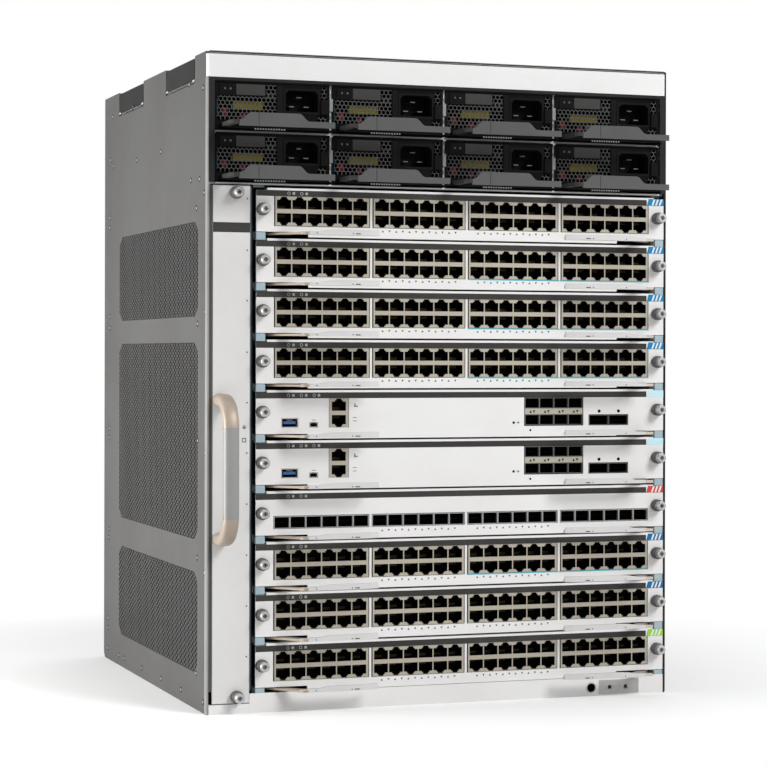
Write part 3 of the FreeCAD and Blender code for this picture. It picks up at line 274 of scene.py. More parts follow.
# %% Mould helpers
class Mould:
    """Collects solids, in millimetres, for one mesh. slot is the material slot of what is added next."""

    def __init__(self):
        self.mesh = bmesh.new()
        self.slot = 0

    def _mark(self, faces):
        for face in faces:
            face.material_index = self.slot

    def block(self, low, high):
        """Adds a block between two corners."""
        made = bmesh.ops.create_cube(self.mesh, size=1.0)["verts"]
        for vert in made:
            vert.co = Vector(
                [low[axis] if vert.co[axis] < 0 else high[axis] for axis in range(3)]
            )
        self._mark({face for vert in made for face in vert.link_faces})
        return self

    def prism(self, plane, start, stop, outline, holes=()):
        """Extrudes an outline with holes from start to stop along the axis that the plane lacks."""
        axes = {"XZ": (0, 2, 1), "XY": (0, 1, 2), "YZ": (1, 2, 0)}[plane]
        edges = []
        for loop in (outline, *holes):
            verts = []
            for across, along in loop:
                spot = [0.0, 0.0, 0.0]
                spot[axes[0]], spot[axes[1]], spot[axes[2]] = across, along, start
                verts.append(self.mesh.verts.new(spot))
            edges += [self.mesh.edges.new((verts[index - 1], verts[index])) for index in range(len(verts))]
        filled = bmesh.ops.triangle_fill(self.mesh, edges=edges, use_beauty=True)["geom"]
        faces = [item for item in filled if isinstance(item, bmesh.types.BMFace)]
        before = set(self.mesh.faces)
        extruded = bmesh.ops.extrude_face_region(self.mesh, geom=faces)["geom"]
        move = [0.0, 0.0, 0.0]
        move[axes[2]] = stop - start
        verts = [item for item in extruded if isinstance(item, bmesh.types.BMVert)]
        bmesh.ops.translate(self.mesh, vec=move, verts=verts)
        self._mark([face for face in self.mesh.faces if face not in before] + faces)
        return self

    def turned(self, centre, profile, sides=24, axis="Y"):
        """Turns a profile of (distance along the axis, radius) pairs about an axis through centre."""
        rings = []
        for along, radius in profile:
            ring = []
            for index in range(sides):
                angle = 2 * math.pi * (index + 0.5) / sides
                round_x, round_y = radius * math.cos(angle), radius * math.sin(angle)
                offset = {
                    "X": (along, round_x, round_y), "Y": (round_x, along, round_y),
                    "Z": (round_x, round_y, along)
                }
                ring.append(self.mesh.verts.new(Vector(centre) + Vector(offset[axis])))
            rings.append(ring)
        faces = [self.mesh.faces.new(rings[0]), self.mesh.faces.new(rings[-1])]
        for first, second in zip(rings, rings[1:]):
            for index in range(sides):
                faces.append(
                    self.mesh.faces.new((first[index - 1], first[index], second[index], second[index - 1]))
                )
        self._mark(faces)
        return self

    def done(self, name, *materials):
        """Gives the mesh, in metres, with its faces outward and its finishes in the order of its slots."""
        bmesh.ops.recalc_face_normals(self.mesh, faces=self.mesh.faces)
        bmesh.ops.scale(self.mesh, vec=(MM, MM, MM), verts=self.mesh.verts)
        mesh = bpy.data.meshes.new(name)
        self.mesh.to_mesh(mesh)
        self.mesh.free()
        return painted(mesh, *materials)


def painted(mesh, *materials):
    """Gives a mesh its finishes, in the order of its slots."""
    for material in materials:
        mesh.materials.append(material)
    return mesh


def rectangle(left, low, right, high):
    """The four corners of a rectangle."""
    return [(left, low), (right, low), (right, high), (left, high)]


def add_piece(name, mesh, body, replaced=(), bevel=0.0, smooth=0.0):
    """Puts a finished mesh in the scene as a piece that rides on a body."""
    if smooth:
        mesh.shade_smooth()
        mesh.set_sharp_from_angle(angle=math.radians(smooth))
    piece = bpy.data.objects.new(name, mesh)
    bpy.context.scene.collection.objects.link(piece)
    if bevel:
        rounding = piece.modifiers.new("rounding", "BEVEL")
        rounding.width = bevel * MM
        rounding.segments = 2
        rounding.limit_method = "ANGLE"
        rounding.angle_limit = math.radians(40)
        rounding.harden_normals = False
    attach(piece, body)
    if replaced:
        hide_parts(*replaced)


def shifted(mesh, right=0.0, up=0.0):
    """A copy of a mesh, moved by millimetres."""
    copy = mesh.copy()
    copy.transform(Matrix.Translation((right * MM, 0, up * MM)))
    return copy


def mirrored(mesh, middle):
    """A copy of a mesh, mirrored across the upright plane at x = middle millimetres."""
    copy = mesh.copy()
    flip = Matrix.Translation((2 * middle * MM, 0, 0)) @ Matrix.Scale(-1, 4, (1, 0, 0))
    copy.transform(flip)
    copy.flip_normals()
    return copy


# %% [markdown]
# ## Copies by Geometry Nodes
# Jacks, holes, screws and fins repeat on a grid, so two small node trees make them. One copies a shape on
# a grid of columns and rows. The other copies it on the points of a carrier mesh. Both end by making the
# copies real and giving them their finish, and the result is taken off as a plain mesh.

# %% Geometry Nodes trees
def copy_tree(name, sizes):
    """Starts a tree that copies the shape given by an object, and returns it with its ends."""
    tree = bpy.data.node_groups.new(name, "GeometryNodeTree")
    kinds = {"Carrier": "Geometry", "Shape": "Object", "Finish": "Material", **sizes}
    for label, kind in kinds.items():
        tree.interface.new_socket(label, in_out="INPUT", socket_type="NodeSocket" + kind)
    tree.interface.new_socket("Copies", in_out="OUTPUT", socket_type="NodeSocketGeometry")
    start = tree.nodes.new("NodeGroupInput").outputs
    shape = new_node(tree, "GeometryNodeObjectInfo", {"Object": start["Shape"]})
    placed = new_node(tree, "GeometryNodeInstanceOnPoints", {"Instance": shape.outputs["Geometry"]})
    real = new_node(tree, "GeometryNodeRealizeInstances", {"Geometry": placed.outputs["Instances"]})
    coat = {"Geometry": real.outputs["Geometry"], "Material": start["Finish"]}
    paint = new_node(tree, "GeometryNodeSetMaterial", coat)
    new_node(tree, "NodeGroupOutput", {"Copies": paint.outputs["Geometry"]})
    return tree, start, placed


def point_tree():
    """Copies the shape on every point of the carrier mesh."""
    tree, start, placed = copy_tree("Copies on points", {})
    tree.links.new(start["Carrier"], placed.inputs["Points"])
    return tree


def grid_tree():
    """Copies the shape on an upright grid of columns and rows, from where the shape stands."""
    sizes = {"Columns": "Int", "Rows": "Int", "Column Step": "Vector", "Row Step": "Vector"}
    tree, start, placed = copy_tree("Copies on a grid", sizes)
    row, column = [
        new_node(tree, "GeometryNodeMeshLine", {"Count": start[count], "Offset": start[step]}, mode="OFFSET")
        for count, step in (("Columns", "Column Step"), ("Rows", "Row Step"))
    ]
    ends = {"Points": column.outputs["Mesh"], "Instance": row.outputs["Mesh"]}
    spread = new_node(tree, "GeometryNodeInstanceOnPoints", ends)
    points = new_node(tree, "GeometryNodeRealizeInstances", {"Geometry": spread.outputs["Instances"]})
    tree.links.new(points.outputs["Geometry"], placed.inputs["Points"])
    return tree


POINT_TREE = point_tree()
GRID_TREE = grid_tree()


def grown(name, tree, shape, material, carrier=None, **sizes):
    """Runs a tree on a shape and takes the result off as a plain mesh."""
    scene = bpy.context.scene
    master = bpy.data.objects.new("master", shape)
    host = bpy.data.objects.new("host", carrier or bpy.data.meshes.new("host"))
    for item in (master, host):
        scene.collection.objects.link(item)
    modifier = host.modifiers.new("copies", "NODES")
    modifier.node_group = tree
    values = {"Shape": master, "Finish": material}
    values.update({label.replace("_", " ").title(): value for label, value in sizes.items()})
    for socket in tree.interface.items_tree:
        if socket.in_out == "INPUT" and socket.name in values:
            modifier[socket.identifier] = values[socket.name]
    depsgraph = bpy.context.evaluated_depsgraph_get()
    mesh = bpy.data.meshes.new_from_object(host.evaluated_get(depsgraph), depsgraph=depsgraph)
    mesh.name = name
    for item in (master, host):
        bpy.data.objects.remove(item)
    return mesh


def on_grid(name, shape, material, columns, rows, column_step, row_step=(0, 0, 0)):
    """Copies a shape on a grid whose steps are given in millimetres."""
    across, along = [tuple(part * MM for part in step) for step in (column_step, row_step)]
    counts = {"columns": columns, "rows": rows}
    return grown(name, GRID_TREE, shape, material, column_step=across, row_step=along, **counts)


def on_points(name, shape, material, offsets):
    """Copies a shape by a list of offsets in millimetres from where it stands."""
    carrier = bpy.data.meshes.new("carrier")
    carrier.from_pydata([[part * MM for part in offset] for offset in offsets], [], [])
    return grown(name, POINT_TREE, shape, material, carrier)


def joined(name, meshes):
    """Joins finished meshes into one, and keeps each one's materials."""
    whole = bmesh.new()
    materials = []
    for mesh in meshes:
        first = len(materials)
        materials += list(mesh.materials)
        count = len(whole.faces)
        whole.from_mesh(mesh)
        whole.faces.ensure_lookup_table()
        for face in whole.faces[count:]:
            face.material_index += first
    result = bpy.data.meshes.new(name)
    whole.to_mesh(result)
    whole.free()
    for material in materials:
        result.materials.append(material)
    return result


# %% [markdown]
# ## Side panels
# Each side of the chassis is one folded sheet with three fields of small staggered holes. Cutting some
# nine thousand holes with booleans would be slow and fragile. Instead a tile that holds one whole
# hexagonal hole and two halves is copied over each field, and a plate with three chamfered windows frames
# the fields. A black sheet behind them is painted shade that darkens the holes. The rolled front edge is
# painted lighter on the left as a painted highlight and dark on the right as painted shade, and a black
# disc round each flush screw is painted shade for its countersink.

# %% Side panels
HOLE_COLUMN = 4.9
HOLE_ROW = 5.0
HOLE_RADIUS = 2.35
PANEL_FIELDS = [(-176.0, 31.5, 64, 18), (-176.0, 149.0, 64, 35), (-176.0, 346.0, 64, 17)]
PANEL_SCREWS = [
    (-143, 554), (38, 556), (80, 556), (172, 556), (-192, 546), (-35, 503), (64, 503), (165, 505),
    (180, 512), (-180, 467), (-149, 468), (182, 453), (183, 443), (-196, 454), (-170, 442), (182, 352),
    (182, 340), (-201, 350), (-174, 340), (182, 237), (182, 228), (-176, 237), (-201, 227), (184, 134),
    (184, 125), (-175, 134), (-200, 123), (187, 42), (187, 32), (-172, 32), (-196, 10), (-118, 10),
    (-42, 10), (35, 10), (111, 10), (137, 10), (189, 11),
]
HANDLE_NOTCHES = [(-163.0, -56.0), (34.5, 141.5)]
NOTCH_LOW = 553.0


def polygon(across, along, radius, sides=6):
    """Corners of a regular polygon, the first one to the right."""
    turns = [2 * math.pi * corner / sides for corner in range(sides)]
    return [(across + radius * math.cos(turn), along + radius * math.sin(turn)) for turn in turns]


def hole_tile(left, low):
    """Tile of perforated sheet, one row high: a whole hole, and two halves half a row away."""
    half_width = HOLE_RADIUS * 0.5
    flat = HOLE_RADIUS * math.sin(math.radians(60))
    next_x = left + 1.5 * HOLE_COLUMN
    right = left + 2 * HOLE_COLUMN
    high = low + HOLE_ROW
    edge = [(left, low), (next_x - HOLE_RADIUS, low), (next_x - half_width, low + flat)]
    edge += [(next_x + half_width, low + flat), (next_x + HOLE_RADIUS, low), (right, low), (right, high)]
    edge += [(next_x + HOLE_RADIUS, high), (next_x + half_width, high - flat)]
    edge += [(next_x - half_width, high - flat), (next_x - HOLE_RADIUS, high), (left, high)]
    hole = polygon(left + HOLE_COLUMN / 2, low + HOLE_ROW / 2, HOLE_RADIUS)
    return Mould().prism("YZ", -SIDE + 0.3, -SIDE + 0.6, edge, [hole]).done("hole tile")


def panel_plate():
    """Plate round the three fields, notched for the bezel and the handles."""
    edge = [(FRONT + 6, 0.0), (FRONT + 6, 554.0), (FRONT + 4.3, 554.0), (FRONT + 4.3, HEIGHT)]
    for near, far in HANDLE_NOTCHES:
        edge += [(near, HEIGHT), (near, NOTCH_LOW), (far, NOTCH_LOW), (far, HEIGHT)]
    edge += [(207.0, HEIGHT), (207.0, 5.0), (202.0, 0.0)]
    windows = []
    for near, low, columns, rows in PANEL_FIELDS:
        far = near + columns * HOLE_COLUMN
        high = low + rows * HOLE_ROW
        cut = 12.0
        windows.append(
            [
                (near + cut, low + 0.5), (far - cut, low + 0.5), (far - 0.5, low + cut * 0.7),
                (far - 0.5, high - cut * 0.7), (far - cut, high - 0.5), (near + cut, high - 0.5),
                (near + 0.5, high - cut * 0.7), (near + 0.5, low + cut * 0.7),
            ]
        )
    return Mould().prism("YZ", -SIDE + 0.22, -SIDE + 1.1, edge, windows).done("panel plate")


def side_panel_meshes():
    """Left panel: perforated fields over a painted shade sheet, plate, rolled front edge and flush screws.
    """
    fields = []
    for near, low, columns, rows in PANEL_FIELDS:
        tile = hole_tile(near, low)
        fields.append(on_grid(
            "field", tile, PANEL_PAINT, columns // 2, rows, (0, 2 * HOLE_COLUMN, 0), (0, 0, HOLE_ROW)
        ))
    # A black sheet behind the three fields is painted shade that darkens the holes.
    shade_sheet = Mould()
    for near, low, columns, rows in PANEL_FIELDS:
        high, far = low + rows * HOLE_ROW, near + columns * HOLE_COLUMN
        shade_sheet.block((-SIDE + 1.5, near, low), (-SIDE + 1.8, far, high))
    fields.append(shade_sheet.done("shade_sheet", BLACK_PLASTIC_AND_SHADE))
    roll = [(FRONT + 6, -SIDE), (FRONT + 1.6, -SIDE), (FRONT + 0.5, -SIDE + 0.5), (FRONT, -SIDE + 1.5)]
    roll += [(FRONT, -SIDE + 2), (FRONT + 6, -SIDE + 2)]
    edge = Mould().prism("XY", 0.0, 553.7, [(x, y) for y, x in roll]).done("rolled edge")
    spots = [(0, y, z) for y, z in PANEL_SCREWS]
    # A flat black disc round each flush screw is painted shade for its countersink.
    shade_disc = Mould().turned((-SIDE + 0.12, 0, 0), [(0.2, 2.7), (0.0, 2.7)], 14, "X").done("shade_disc")
    screw = Mould().turned((-SIDE, 0, 0), [(0.2, 1.3), (0.06, 1.3), (0.02, 0.9)], 12, "X").done("screw")
    heads = [on_points("dimples", shade_disc, BLACK_TRIM_AND_SHADOW, spots), on_points("screws", screw, STEEL_AND_HIGHLIGHT, spots)]
    # The rolled edge takes a paint lighter than the panel: a painted highlight where it faces the light.
    return fields, painted(panel_plate(), PANEL_PAINT), [painted(edge, COVER_PAINT_AND_HIGHLIGHT), *heads]


fields, plate, edge_and_screws = side_panel_meshes()
left_panel = joined("left panel", fields + [plate])
left_trim = joined("left trim", edge_and_screws)
right_trim = mirrored(left_trim, 0)
# The right panel's rolled edge is painted dark: painted shade on the side turned from the light.
right_trim.materials[0] = DARK_PAINT_AND_SHADE
add_piece("left_panel_sheet", left_panel, "chassis", ["left_side_panel"])
add_piece("left_panel_trim", left_trim, "chassis")
add_piece("right_panel_sheet", mirrored(left_panel, 0), "chassis", ["right_side_panel"])
add_piece("right_panel_trim", right_trim, "chassis")
print("faces in one side panel:", len(left_panel.polygons))

# %% [markdown]
# ## Chassis sheets that keep their solids
# The cover, base, shelves and guides are plain folded sheets, and their solids already have the right
# form. They only need a finish.

# %% Finishes on the frame's own solids
NODE_FINISHES = {
    "top_cover": COVER_PAINT_AND_HIGHLIGHT,
    "base_pan": FACE_PAINT,
    "rear_panel": COVER_PAINT_AND_HIGHLIGHT,
    "top_bezel": BEZEL_PAINT,
    "power_bay_frame": ZINC,
    "fan_bay_divider": BLACK_TRIM_AND_SHADOW,
    "card_guides": GUIDE_BLUE,
    "backplane": BOARD_GREEN,
    "left_carry_handles": DARK_PAINT_AND_SHADE,
    "right_carry_handles": DARK_PAINT_AND_SHADE,
}
for node_name, material in NODE_FINISHES.items():
    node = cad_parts[node_name]
    node.data.materials.clear()
    node.data.materials.append(material)

# Each handle's lip is real; its bright steel finish is painted highlight where its top faces the light.
lips = Mould()
for near, far in HANDLE_NOTCHES:
    lips.slot = 0
    lips.block((-SIDE + 0.05, near + 1.5, 554.9), (-SIDE + 3, far - 1.5, 556.5))
    lips.slot = 1
    lips.block((-SIDE + 0.4, near + 2.5, 556.7), (-SIDE + 0.7, far - 2.5, 575.2))
left_lips = lips.done("lips", STEEL_AND_HIGHLIGHT, DARK_PAINT_AND_SHADE)
add_piece("left_carry_handle_lips", left_lips, "left_carry_handles")
add_piece("right_carry_handle_lips", mirrored(left_lips, 0), "right_carry_handles")

# %% [markdown]
# ## Trim round the front
# Dark lines outline the front of the chassis. Black strips in the gaps under the bezel and beside the fan
# tray are painted shadow, and dark lines under the bezel, along its top and down the right edge are painted
# shade. Dark posts stand beside the supplies, with spring catches between them, and there are the blue ends
# of the card guides and a steel earthing plate at the foot. Thin strips and small blocks make them.

# %% Front trim
trim = Mould()
# Black strips in the gaps under the bezel and beside the fan tray are painted shadow.
trim.block((-217, FRONT + 3.2, 551.2), (217, FRONT + 4.2, 554.1))
trim.block((-179.5, FRONT + 1.5, 21), (-178.2, FRONT + 4.5, 461))
add_piece("front_shadow_strips", trim.done("trim", BLACK_TRIM_AND_SHADOW), "chassis", bevel=0.2)

edges = Mould()
for low in (461.6, 505.3):
    edges.block((-212.8, FRONT + 0.15, low), (212.8, FRONT + 3.1, low + 1.3))
add_piece("shelf_edges", edges.done("edges", SHELF_STEEL), "chassis", bevel=0.15)

posts = Mould()
for left, right in ((-218.7, -213.3), (213.6, 218.7)):
    posts.block((left, FRONT - 0.08, 462.9), (right, FRONT + 3.4, 553.8))
# The dark line under the bezel is painted shade.
posts.block((-213.3, FRONT - 0.08, 551.1), (213.6, FRONT + 2, 553.8))
posts.slot = 1
posts.block((-217.9, FRONT - 0.08, 20), (-216.4, FRONT + 3, 461))
posts.slot = 0
# The dark lines down the right edge and along the bezel's top are painted shade.
posts.block((219.1, FRONT - 0.08, 1.0), (219.95, FRONT + 8, 576.2))
posts.block((-218.5, FRONT - 0.08, 575.5), (219.1, FRONT + 0.4, 576.6))
add_piece("front_posts", posts.done("posts", DARK_PAINT_AND_SHADE, ARM_BROWN), "chassis", bevel=0.2)

GUIDE_WIDTH = 8.6
blocks = Mould()
for slot in range(10):
    top = SLOT_TOP - SLOT_PITCH * slot
    for left in (CARD_LEFT, CARD_RIGHT - GUIDE_WIDTH):
        blocks.block((left, FRONT + 0.5, top - 43.8), (left + GUIDE_WIDTH, FRONT + 8, top - 36.9))
add_piece("card_guide_ends", blocks.done("blocks", GUIDE_BLUE), "chassis", bevel=0.4)

catches = Mould()
for number in (-1, 0, 1):
    for low in (482.3, 527.5):
        catches.block(
            (number * SUPPLY_PITCH - 1.7, FRONT + 0.6, low),
            (number * SUPPLY_PITCH + 1.7, FRONT + 3, low + 11.5)
        )
add_piece("supply_catches", catches.done("catches", EJECTOR_SHADE), "chassis", bevel=0.5)

foot = Mould()
foot.prism(
    "XZ", FRONT - 0.35, FRONT, rectangle(153, 1.2, 193, 14),
    [polygon(164, 7.2, 2.3, 16), polygon(180, 7.2, 2.3, 16)]
)
foot.slot = 1
foot.turned((145, FRONT, 7.5), [(-0.5, 5.0), (0.0, 5.0), (0.0, 4.0), (-0.5, 4.0)], 24)
foot.slot = 2
foot.turned((145, FRONT, 7.5), [(-0.1, 4.0), (-0.05, 3.9)], 24)
add_piece("earth_plate_and_jack", foot.done("foot", ZINC, SCREW_NICKEL, BLACK_PLASTIC_AND_SHADE), "chassis")

# %% [markdown]
# ## Thumbscrews
# A captive thumbscrew has a dark knurled sleeve and a bright head. A dark cross on the head is painted shade
# for its cross recess. The knurl is a ring of thin ribs, copied round the sleeve by the points tree, and
# each screw is then copied to its places on a card.

# %% Thumbscrew
def thumbscrew_parts(across, height, radius=5.4, length=12.9):
    """Sleeve, ribs and head of a thumbscrew that stands on the front plane."""
    sleeve = Mould().turned(
        (across, FRONT, height),
        [(0, radius), (-length * 0.45, radius), (-length * 0.5, radius - 0.7), (-length * 0.5, 1)], 28
    )
    head = Mould()
    inner = radius - 1.1
    head.turned(
        (across, FRONT, height),
        [
            (-length * 0.45, inner), (-length + 1.0, inner), (-length, inner - 0.9), (-length, 2.2),
            (-length + 1.2, 0.8)
        ],
        28,
    )
    ribs = []
    for index in range(28):
        angle = 2 * math.pi * index / 28
        ribs.append((radius * 0.97 * math.cos(angle), 0, radius * 0.97 * math.sin(angle)))
    rib = Mould().block(
        (across - 0.28, FRONT - length * 0.42, height - 0.28), (across + 0.28, FRONT - 0.4, height + 0.28)
    )
    fine_rib = Mould().block(
        (across - 0.2, FRONT - length + 1.3, height - 0.2),
        (across + 0.2, FRONT - length * 0.5, height + 0.2)
    )
    inner_ribs = [(x * inner / radius, y, z * inner / radius) for x, y, z in ribs]
    # The dark cross on the head is painted shade for the cross recess.
    cross = Mould().block(
        (across - 2.0, FRONT - length - 0.02, height - 0.45),
        (across + 2.0, FRONT - length + 0.6, height + 0.45)
    )
    cross.block(
        (across - 0.45, FRONT - length - 0.02, height - 2.0),
        (across + 0.45, FRONT - length + 0.6, height + 2.0)
    )
    return joined("thumbscrew", [
        sleeve.done("sleeve", SCREW_SLEEVE_AND_SHADE),
        on_points("ribs", rib.done("rib"), SCREW_SLEEVE_AND_SHADE, ribs),
        head.done("head", SCREW_NICKEL),
        on_points("fine ribs", fine_rib.done("fine rib"), SCREW_NICKEL, inner_ribs),
        cross.done("cross", SCREW_SLEEVE_AND_SHADE),
    ])


LEFT_SCREW = (CARD_LEFT + 5.3, SLOT_TOP - 17)
RIGHT_SCREW = (CARD_RIGHT - 7.1, SLOT_TOP - 17)
card_screws = joined("card screws", [thumbscrew_parts(*LEFT_SCREW), thumbscrew_parts(*RIGHT_SCREW)])
print("faces in a pair of thumbscrews:", len(card_screws.polygons))

# %% [markdown]
# ## Card faceplates
# Every card has a painted plate, folded back along its top, with a dark printed strip under the fold and a
# colour tag at the right. The printed marks are left generic: rings, dots and plain triangles that point
# at the jacks.

# %% Faceplates
def faceplate(windows):
    """Faceplate of the top slot's card, with its windows as (left, drop, width, height)."""
    low = SLOT_TOP - 36.5
    high = SLOT_TOP + 2
    apron = SLOT_TOP - 40.8
    holes = [
        rectangle(left, SLOT_TOP - drop - height, left + width, SLOT_TOP - drop) for left, drop, width,
        height in windows
    ]
    half = [(CARD_LEFT, low), (CARD_LEFT, SLOT_TOP), (CARD_LEFT + 10, SLOT_TOP), (CARD_LEFT + 10, high)]
    half = [(CARD_LEFT + 47.6, apron), (CARD_LEFT + 47.6, low), *half]
    other = [(2 * CARD_MIDDLE - across, along) for across, along in reversed(half)]
    mould = Mould().prism("XZ", FRONT, FRONT + 1.4, half + other, holes)
    mould.block((CARD_LEFT + 10, FRONT + 1.4, high - 1.4), (CARD_RIGHT - 10, FRONT + 10, high))
    liners = Mould()
    for left, drop, width, height in windows:
        lowest, highest = SLOT_TOP - drop - height, SLOT_TOP - drop
        opening = rectangle(left, lowest, left + width, highest)
        liners.prism(
            "XZ", FRONT + 1.4, FRONT + 12.4,
            rectangle(left - 0.4, lowest - 0.4, left + width + 0.4, highest + 0.4), [opening]
        )
        liners.block(
            (left - 0.4, FRONT + 12.4, lowest - 0.4), (left + width + 0.4, FRONT + 12.9, highest + 0.4)
        )
    return joined("faceplate", [mould.done("plate", FACE_PAINT), liners.done("liners", BLACK_PLASTIC_AND_SHADE)])


def printed_strip(supervisor):
    """Dark strip along the top of a faceplate, with its pairs of small rings and squares."""
    strip = Mould().block((CARD_LEFT, FRONT - 0.12, STRIP_LOW), (200.3, FRONT, SLOT_TOP))
    ring = Mould().prism(
        "XZ", FRONT - 0.22, FRONT - 0.1, polygon(-146, SLOT_TOP - 2.6, 1.45, 16),
        [polygon(-146, SLOT_TOP - 2.6, 1.0, 16)]
    )
    square = Mould().block((-142.6, FRONT - 0.22, SLOT_TOP - 3.7), (-140.4, FRONT - 0.1, SLOT_TOP - 1.5))
    pairs = [(11.8 * number, 0, 0) for number in range(3 if supervisor else 2)]
    return [
        strip.done("strip", STRIP_INK),
        on_points("rings", ring.done("ring"), INK_PALE, pairs),
        on_points("squares", square.done("square"), INK_PALE, pairs),
    ]


def pointer_row():
    """Row of twelve small triangles under the two middle groups, which point up and down by turns."""
    step = 6.3
    first = GROUP_LEFTS[1] + (GROUP_WIDTH - 11 * step) / 2
    low, high = SLOT_TOP - 35.1, SLOT_TOP - 33.3
    up = Mould().prism(
        "XZ", FRONT - 0.1, FRONT, [(first - 1.1, low), (first + 1.1, low), (first, high)]
    ).done("up")
    down = Mould().prism(
        "XZ", FRONT - 0.1, FRONT, [(first - 1.1, high), (first, low), (first + 1.1, high)]
    ).done("down")
    return [
        on_grid("pointers", shape, INK_GREY, 6, 2, (2 * step, 0, 0), (GROUP_PITCH, 0, 0))
        for shape in (up, shifted(down, right=step))
    ]


def colour_tag(material, slashes):
    """Tag over the right end of a card, with three pale slashes or none."""
    low = STRIP_LOW
    mould = Mould()
    mould.prism(
        "XZ", FRONT - 0.3, FRONT, [(200.6, low), (217.6, low), (217.6, SLOT_TOP + 1), (202.4, SLOT_TOP + 1)]
    )
    mould.slot = 1
    for number in range(slashes):
        left = 205.2 + 3.6 * number
        mould.prism(
            "XZ", FRONT - 0.4, FRONT - 0.28,
            [
                (left, low + 0.4), (left + 1.7, low + 0.4), (left + 3.8, SLOT_TOP + 0.7),
                (left + 2.1, SLOT_TOP + 0.7)
            ],
        )
    return mould.done("tag", material, FACE_PAINT)


# %% [markdown]
# ## Jacks
# A jack opening is a rectangle with a stepped notch for the plug's latch. The upper row has its notches on
# top, the lower row below. One column of the metal shield, with the two wells behind it, is drawn once and
# copied to the twenty-four columns of a card. Eight gold contacts sit at the back of each well.

# %% Jacks
JACK_PITCH = 14.1
JACK_WIDTH = 13.1
JACK_HEIGHT = 8.1
JACK_FOOT = SLOT_TOP - 31.0
JACK_TOP = STRIP_LOW
JACK_SHIELD = FRONT + 0.25


def jack_opening(middle, low, upward):
    """Outline of a jack opening with its stepped latch notch. low is the bottom of the rectangle."""
    half = JACK_WIDTH / 2
    high = low + JACK_HEIGHT
    step, top = high + 1.2, high + 2.6
    outline = [(-half, low), (half, low), (half, high), (3.7, high), (3.7, step), (2.5, step)]
    outline += [(2.5, top), (-2.5, top), (-2.5, step), (-3.7, step), (-3.7, high), (-half, high)]
    if not upward:
        outline = [(across, low + high - along) for across, along in outline]
    return [(middle + across, along) for across, along in outline]


def jack_column(left):
    """Shield, wells and contacts of one column of two jacks."""
    middle = left + JACK_PITCH / 2
    upper_low, lower_low = JACK_TOP - 3.0 - JACK_HEIGHT, JACK_FOOT + 2.8
    openings = [jack_opening(middle, upper_low, True), jack_opening(middle, lower_low, False)]
    shield = Mould().prism(
        "XZ", JACK_SHIELD, JACK_SHIELD + 0.5, rectangle(left, JACK_FOOT, left + JACK_PITCH, JACK_TOP),
        openings
    )
    wells = Mould()
    parting = (upper_low + lower_low + JACK_HEIGHT) / 2
    for low, high in ((parting, JACK_TOP), (JACK_FOOT, parting)):
        wells.prism(
            "XZ", JACK_SHIELD + 0.5, JACK_SHIELD + 11, rectangle(left, low, left + JACK_PITCH, high),
            [rectangle(left + 0.5, low + 0.4, left + JACK_PITCH - 0.5, high - 0.4)],
        )
    wells.block((left, JACK_SHIELD + 11, JACK_FOOT), (left + JACK_PITCH, JACK_SHIELD + 11.6, JACK_TOP))
    contact = Mould()
    for foot in (upper_low + 0.6, lower_low + JACK_HEIGHT - 3.0):
        contact.block(
            (middle - 3.7, JACK_SHIELD + 9.6, foot), (middle - 3.4, JACK_SHIELD + 10.2, foot + 2.4)
        )
    contacts = on_grid("contacts", contact.done("contact"), GOLD, 8, 1, (1.0, 0, 0))
    return shield.done("shield"), wells.done("wells"), contacts


def copper_meshes():
    """The four groups of jacks of a copper card, with the shields' side margins."""
    shield, wells, contacts = jack_column(GROUP_LEFTS[0] + 2.1)
    steps = [(GROUP_PITCH * group + JACK_PITCH * column, 0, 0) for group in range(4) for column in range(6)]
    margin = Mould()
    for left in GROUP_LEFTS:
        for start, stop in (
            (left + 1.2, left + 2.1), (left + 2.1 + 6 * JACK_PITCH, left + GROUP_WIDTH - 0.7)
        ):
            margin.block((start, JACK_SHIELD, JACK_FOOT), (stop, JACK_SHIELD + 6, JACK_TOP))
    return [
        on_points("shields", shield, JACK_METAL, steps),
        on_points("wells", wells, BLACK_PLASTIC_AND_SHADE, steps),
        on_points("contacts", contacts, GOLD, steps),
        margin.done("margins", JACK_METAL),
    ]


copper_sockets = copper_meshes()
print("faces in the sockets of a copper card:", sum(len(mesh.polygons) for mesh in copper_sockets))

# %% [markdown]
# ## Cages
# Fibre modules slide into bright sheet metal cages. A cage mouth is a rim of springy metal round a dark
# hole. The same function makes the row of twenty-four on the fibre card, and the block of eight and the
# pair on a supervisor.

# %% Cages
def cage(left, low, width, height, rim=0.5):
    """Rim and dark sleeve of one cage."""
    inner = rectangle(left + rim, low + rim, left + width - rim, low + height - rim)
    mouth = Mould().prism(
        "XZ", FRONT + 0.1, FRONT + 3, rectangle(left, low, left + width, low + height), [inner]
    )
    sleeve = Mould().prism(
        "XZ", FRONT + 3, FRONT + 11.5, rectangle(left, low, left + width, low + height), [inner]
    )
    sleeve.block((left, FRONT + 11.5, low), (left + width, FRONT + 12, low + height))
    sleeve.block(
        (left + rim, FRONT + 7, low + height * 0.42),
        (left + width - rim, FRONT + 11.5, low + height * 0.52)
    )
    return mouth.done("mouth"), sleeve.done("sleeve")


def fibre_meshes():
    """One row of six cages in each of the four groups."""
    mouth, sleeve = cage(GROUP_LEFTS[0] + 0.5, SLOT_TOP - 30.7, 14.4, 10.6)
    steps = [(GROUP_PITCH * group + 14.65 * column, 0, 0) for group in range(4) for column in range(6)]
    return [on_points("mouths", mouth, ZINC, steps), on_points("sleeves", sleeve, BLACK_PLASTIC_AND_SHADE, steps)]


# %% [markdown]
# ## Supervisor sockets
# From left to right, a supervisor has a storage socket with a blue tongue, a small console socket, two
# stacked jacks, a block of two by four cages with a pale bar of pointers between its rows, and a pair of
# wide cages.

